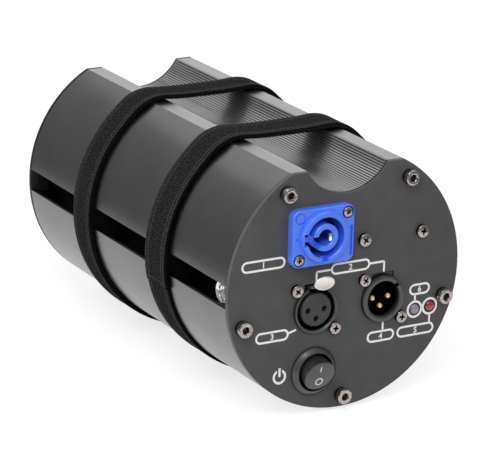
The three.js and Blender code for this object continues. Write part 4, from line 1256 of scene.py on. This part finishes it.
CAMERA_ANGLES = (-30.2325, 17.8358, 1.5413)
CAMERA_AIM = (-48.69 * mm, 30.11 * mm)
CAMERA_DISTANCE = 1.18186
CAMERA_LENS = 200.2
CAMERA_CLIP = (0.05, 20)
WORLD_LEVEL = 0.45
FLOOR_GLOW = 0.72
WALL_DISTANCE = 0.4
WALL_SQUEEZE = 0.55
WALL_STRETCH = 1.4
WALL_HEIGHT = 0.38
WALL_LEVELS = (0.24, 0.5)
WALL_WINDOW = (15, 62)
OBJECT_CENTRE = (0, 0, 0.06)

# The lights: name, place, width and height, power
SOFTBOXES = [("top", (-0.6, -0.85, 1), (0.8, 0.8), 9), ("left", (-1.2, -0.2, 0.25), (0.7, 0.4), 4),
             ("right", (0.9, -0.9, 0.6), (0.6, 0.6), 2), ("rear", (0.62, 1.07, 0.5), (0.7, 0.6), 0.6)]


def show_white(tree, shader, white):
    """Mixes a shader with plain white for the camera, for reflections and through glass."""
    path = add_node(tree, "LightPath").outputs
    seen = path["Is Camera Ray"]
    for ray in ("Is Glossy Ray", "Is Transmission Ray"):
        seen = add_node(tree, "Math", {0: seen, 1: path[ray]}, operation="MAXIMUM").outputs[0]
    return add_node(tree, "MixShader", {0: seen, 1: shader, 2: white}).outputs[0]


def build_world():
    world = bpy.data.worlds.new("studio")
    bpy.context.scene.world = world
    world.use_nodes = True
    tree = world.node_tree
    soft = tree.nodes["Background"]
    soft.inputs["Color"].default_value = (1, 1, 1, 1)
    soft.inputs["Strength"].default_value = WORLD_LEVEL
    white = add_node(tree, "Background", {"Color": (1, 1, 1, 1), "Strength": 1})
    shown = show_white(tree, soft.outputs[0], white.outputs[0])
    tree.links.new(shown, tree.nodes["World Output"].inputs["Surface"])


def stage_piece(piece, name, made, surface):
    """Gives a piece of the studio its name and the surface that its material ends in."""
    piece.name = name
    made.tree.links.new(surface, made.tree.nodes["Material Output"].inputs["Surface"])
    piece.data.materials.append(made.material)


def build_floor():
    settle()
    bpy.ops.mesh.primitive_plane_add(size=6)
    made = Surface("floor_white", (0.5, 0.5, 0.5), {"Roughness": 1, "Specular IOR Level": 0})
    matt = made.shader.outputs[0]
    glow = made.node("Emission", {"Strength": FLOOR_GLOW}).outputs[0]
    lit = made.node("AddShader", {0: matt, 1: glow}).outputs[0]
    stage_piece(bpy.context.object, "floor", made, show_white(made.tree, matt, lit))


def build_wall():
    """Dark low wall round the table that only reflections show, open towards the right rear."""
    settle()
    bpy.ops.mesh.primitive_cylinder_add(vertices=72, radius=WALL_DISTANCE, depth=WALL_HEIGHT,
                                        end_fill_type="NOTHING", location=(0, 0, WALL_HEIGHT / 2))
    bpy.context.object.scale = (WALL_SQUEEZE, WALL_STRETCH, 1)
    wall = fresh()
    first, last = WALL_WINDOW
    select_faces(wall, lambda centre, normal: first < degrees(atan2(centre.x, centre.y)) < last)
    bpy.ops.mesh.delete(type="FACE")
    settle()
    for ray in ("camera", "diffuse", "transmission", "shadow", "volume_scatter"):
        setattr(wall, f"visible_{ray}", False)
    made = Surface("wall_dark", (0, 0, 0), {})
    height = made.parts(made.coordinates())[2]
    glow = made.node("Emission", {"Strength": made.remap(height, *WALL_LEVELS, 0, WALL_HEIGHT)})
    stage_piece(wall, "dark_wall", made, glow.outputs[0])


def set_out(name, data):
    """A new object in the scene."""
    thing = bpy.data.objects.new(name, data)
    bpy.context.scene.collection.objects.link(thing)
    return thing


def softbox(side, place, size, power):
    name = f"{side}_softbox"
    lamp = bpy.data.lights.new(name, "AREA")
    lamp.shape = "RECTANGLE"
    lamp.size, lamp.size_y = size
    lamp.energy = power
    holder = set_out(name, lamp)
    holder.location = place
    holder.rotation_euler = (Vector(OBJECT_CENTRE) - Vector(place)).to_track_quat("-Z", "Y").to_euler()


def build_camera():
    azimuth, elevation, roll = (radians(a) for a in CAMERA_ANGLES)
    back = Vector((sin(azimuth) * cos(elevation), -cos(azimuth) * cos(elevation), sin(elevation)))
    level = Vector((cos(azimuth), sin(azimuth), 0))
    upward = back.cross(level)
    right = level * cos(roll) + upward * sin(roll)
    up = upward * cos(roll) - level * sin(roll)
    data = bpy.data.cameras.new("camera")
    data.sensor_width = 36
    data.lens = CAMERA_LENS
    data.clip_start, data.clip_end = CAMERA_CLIP
    camera = set_out("camera", data)
    aim = Vector((CAMERA_AIM[0], FRONT_FACE, AXIS_HEIGHT + CAMERA_AIM[1]))
    facing = Matrix((right, up, back)).transposed().to_4x4()
    camera.matrix_world = Matrix.Translation(aim + back * CAMERA_DISTANCE) @ facing
    bpy.context.scene.camera = camera


# The scene

build_camera()
build_tube()
build_plates()
build_screws()
build_inlet()
build_sockets()
build_input()
build_switch()
build_lamps()
build_nut()
for strap in STRAPS:
    build_strap(*strap)
build_prints()
finish_inner_parts()
build_world()
build_floor()
build_wall()
for light in SOFTBOXES:
    softbox(*light)

bpy.context.scene.view_settings.view_transform = "Standard"
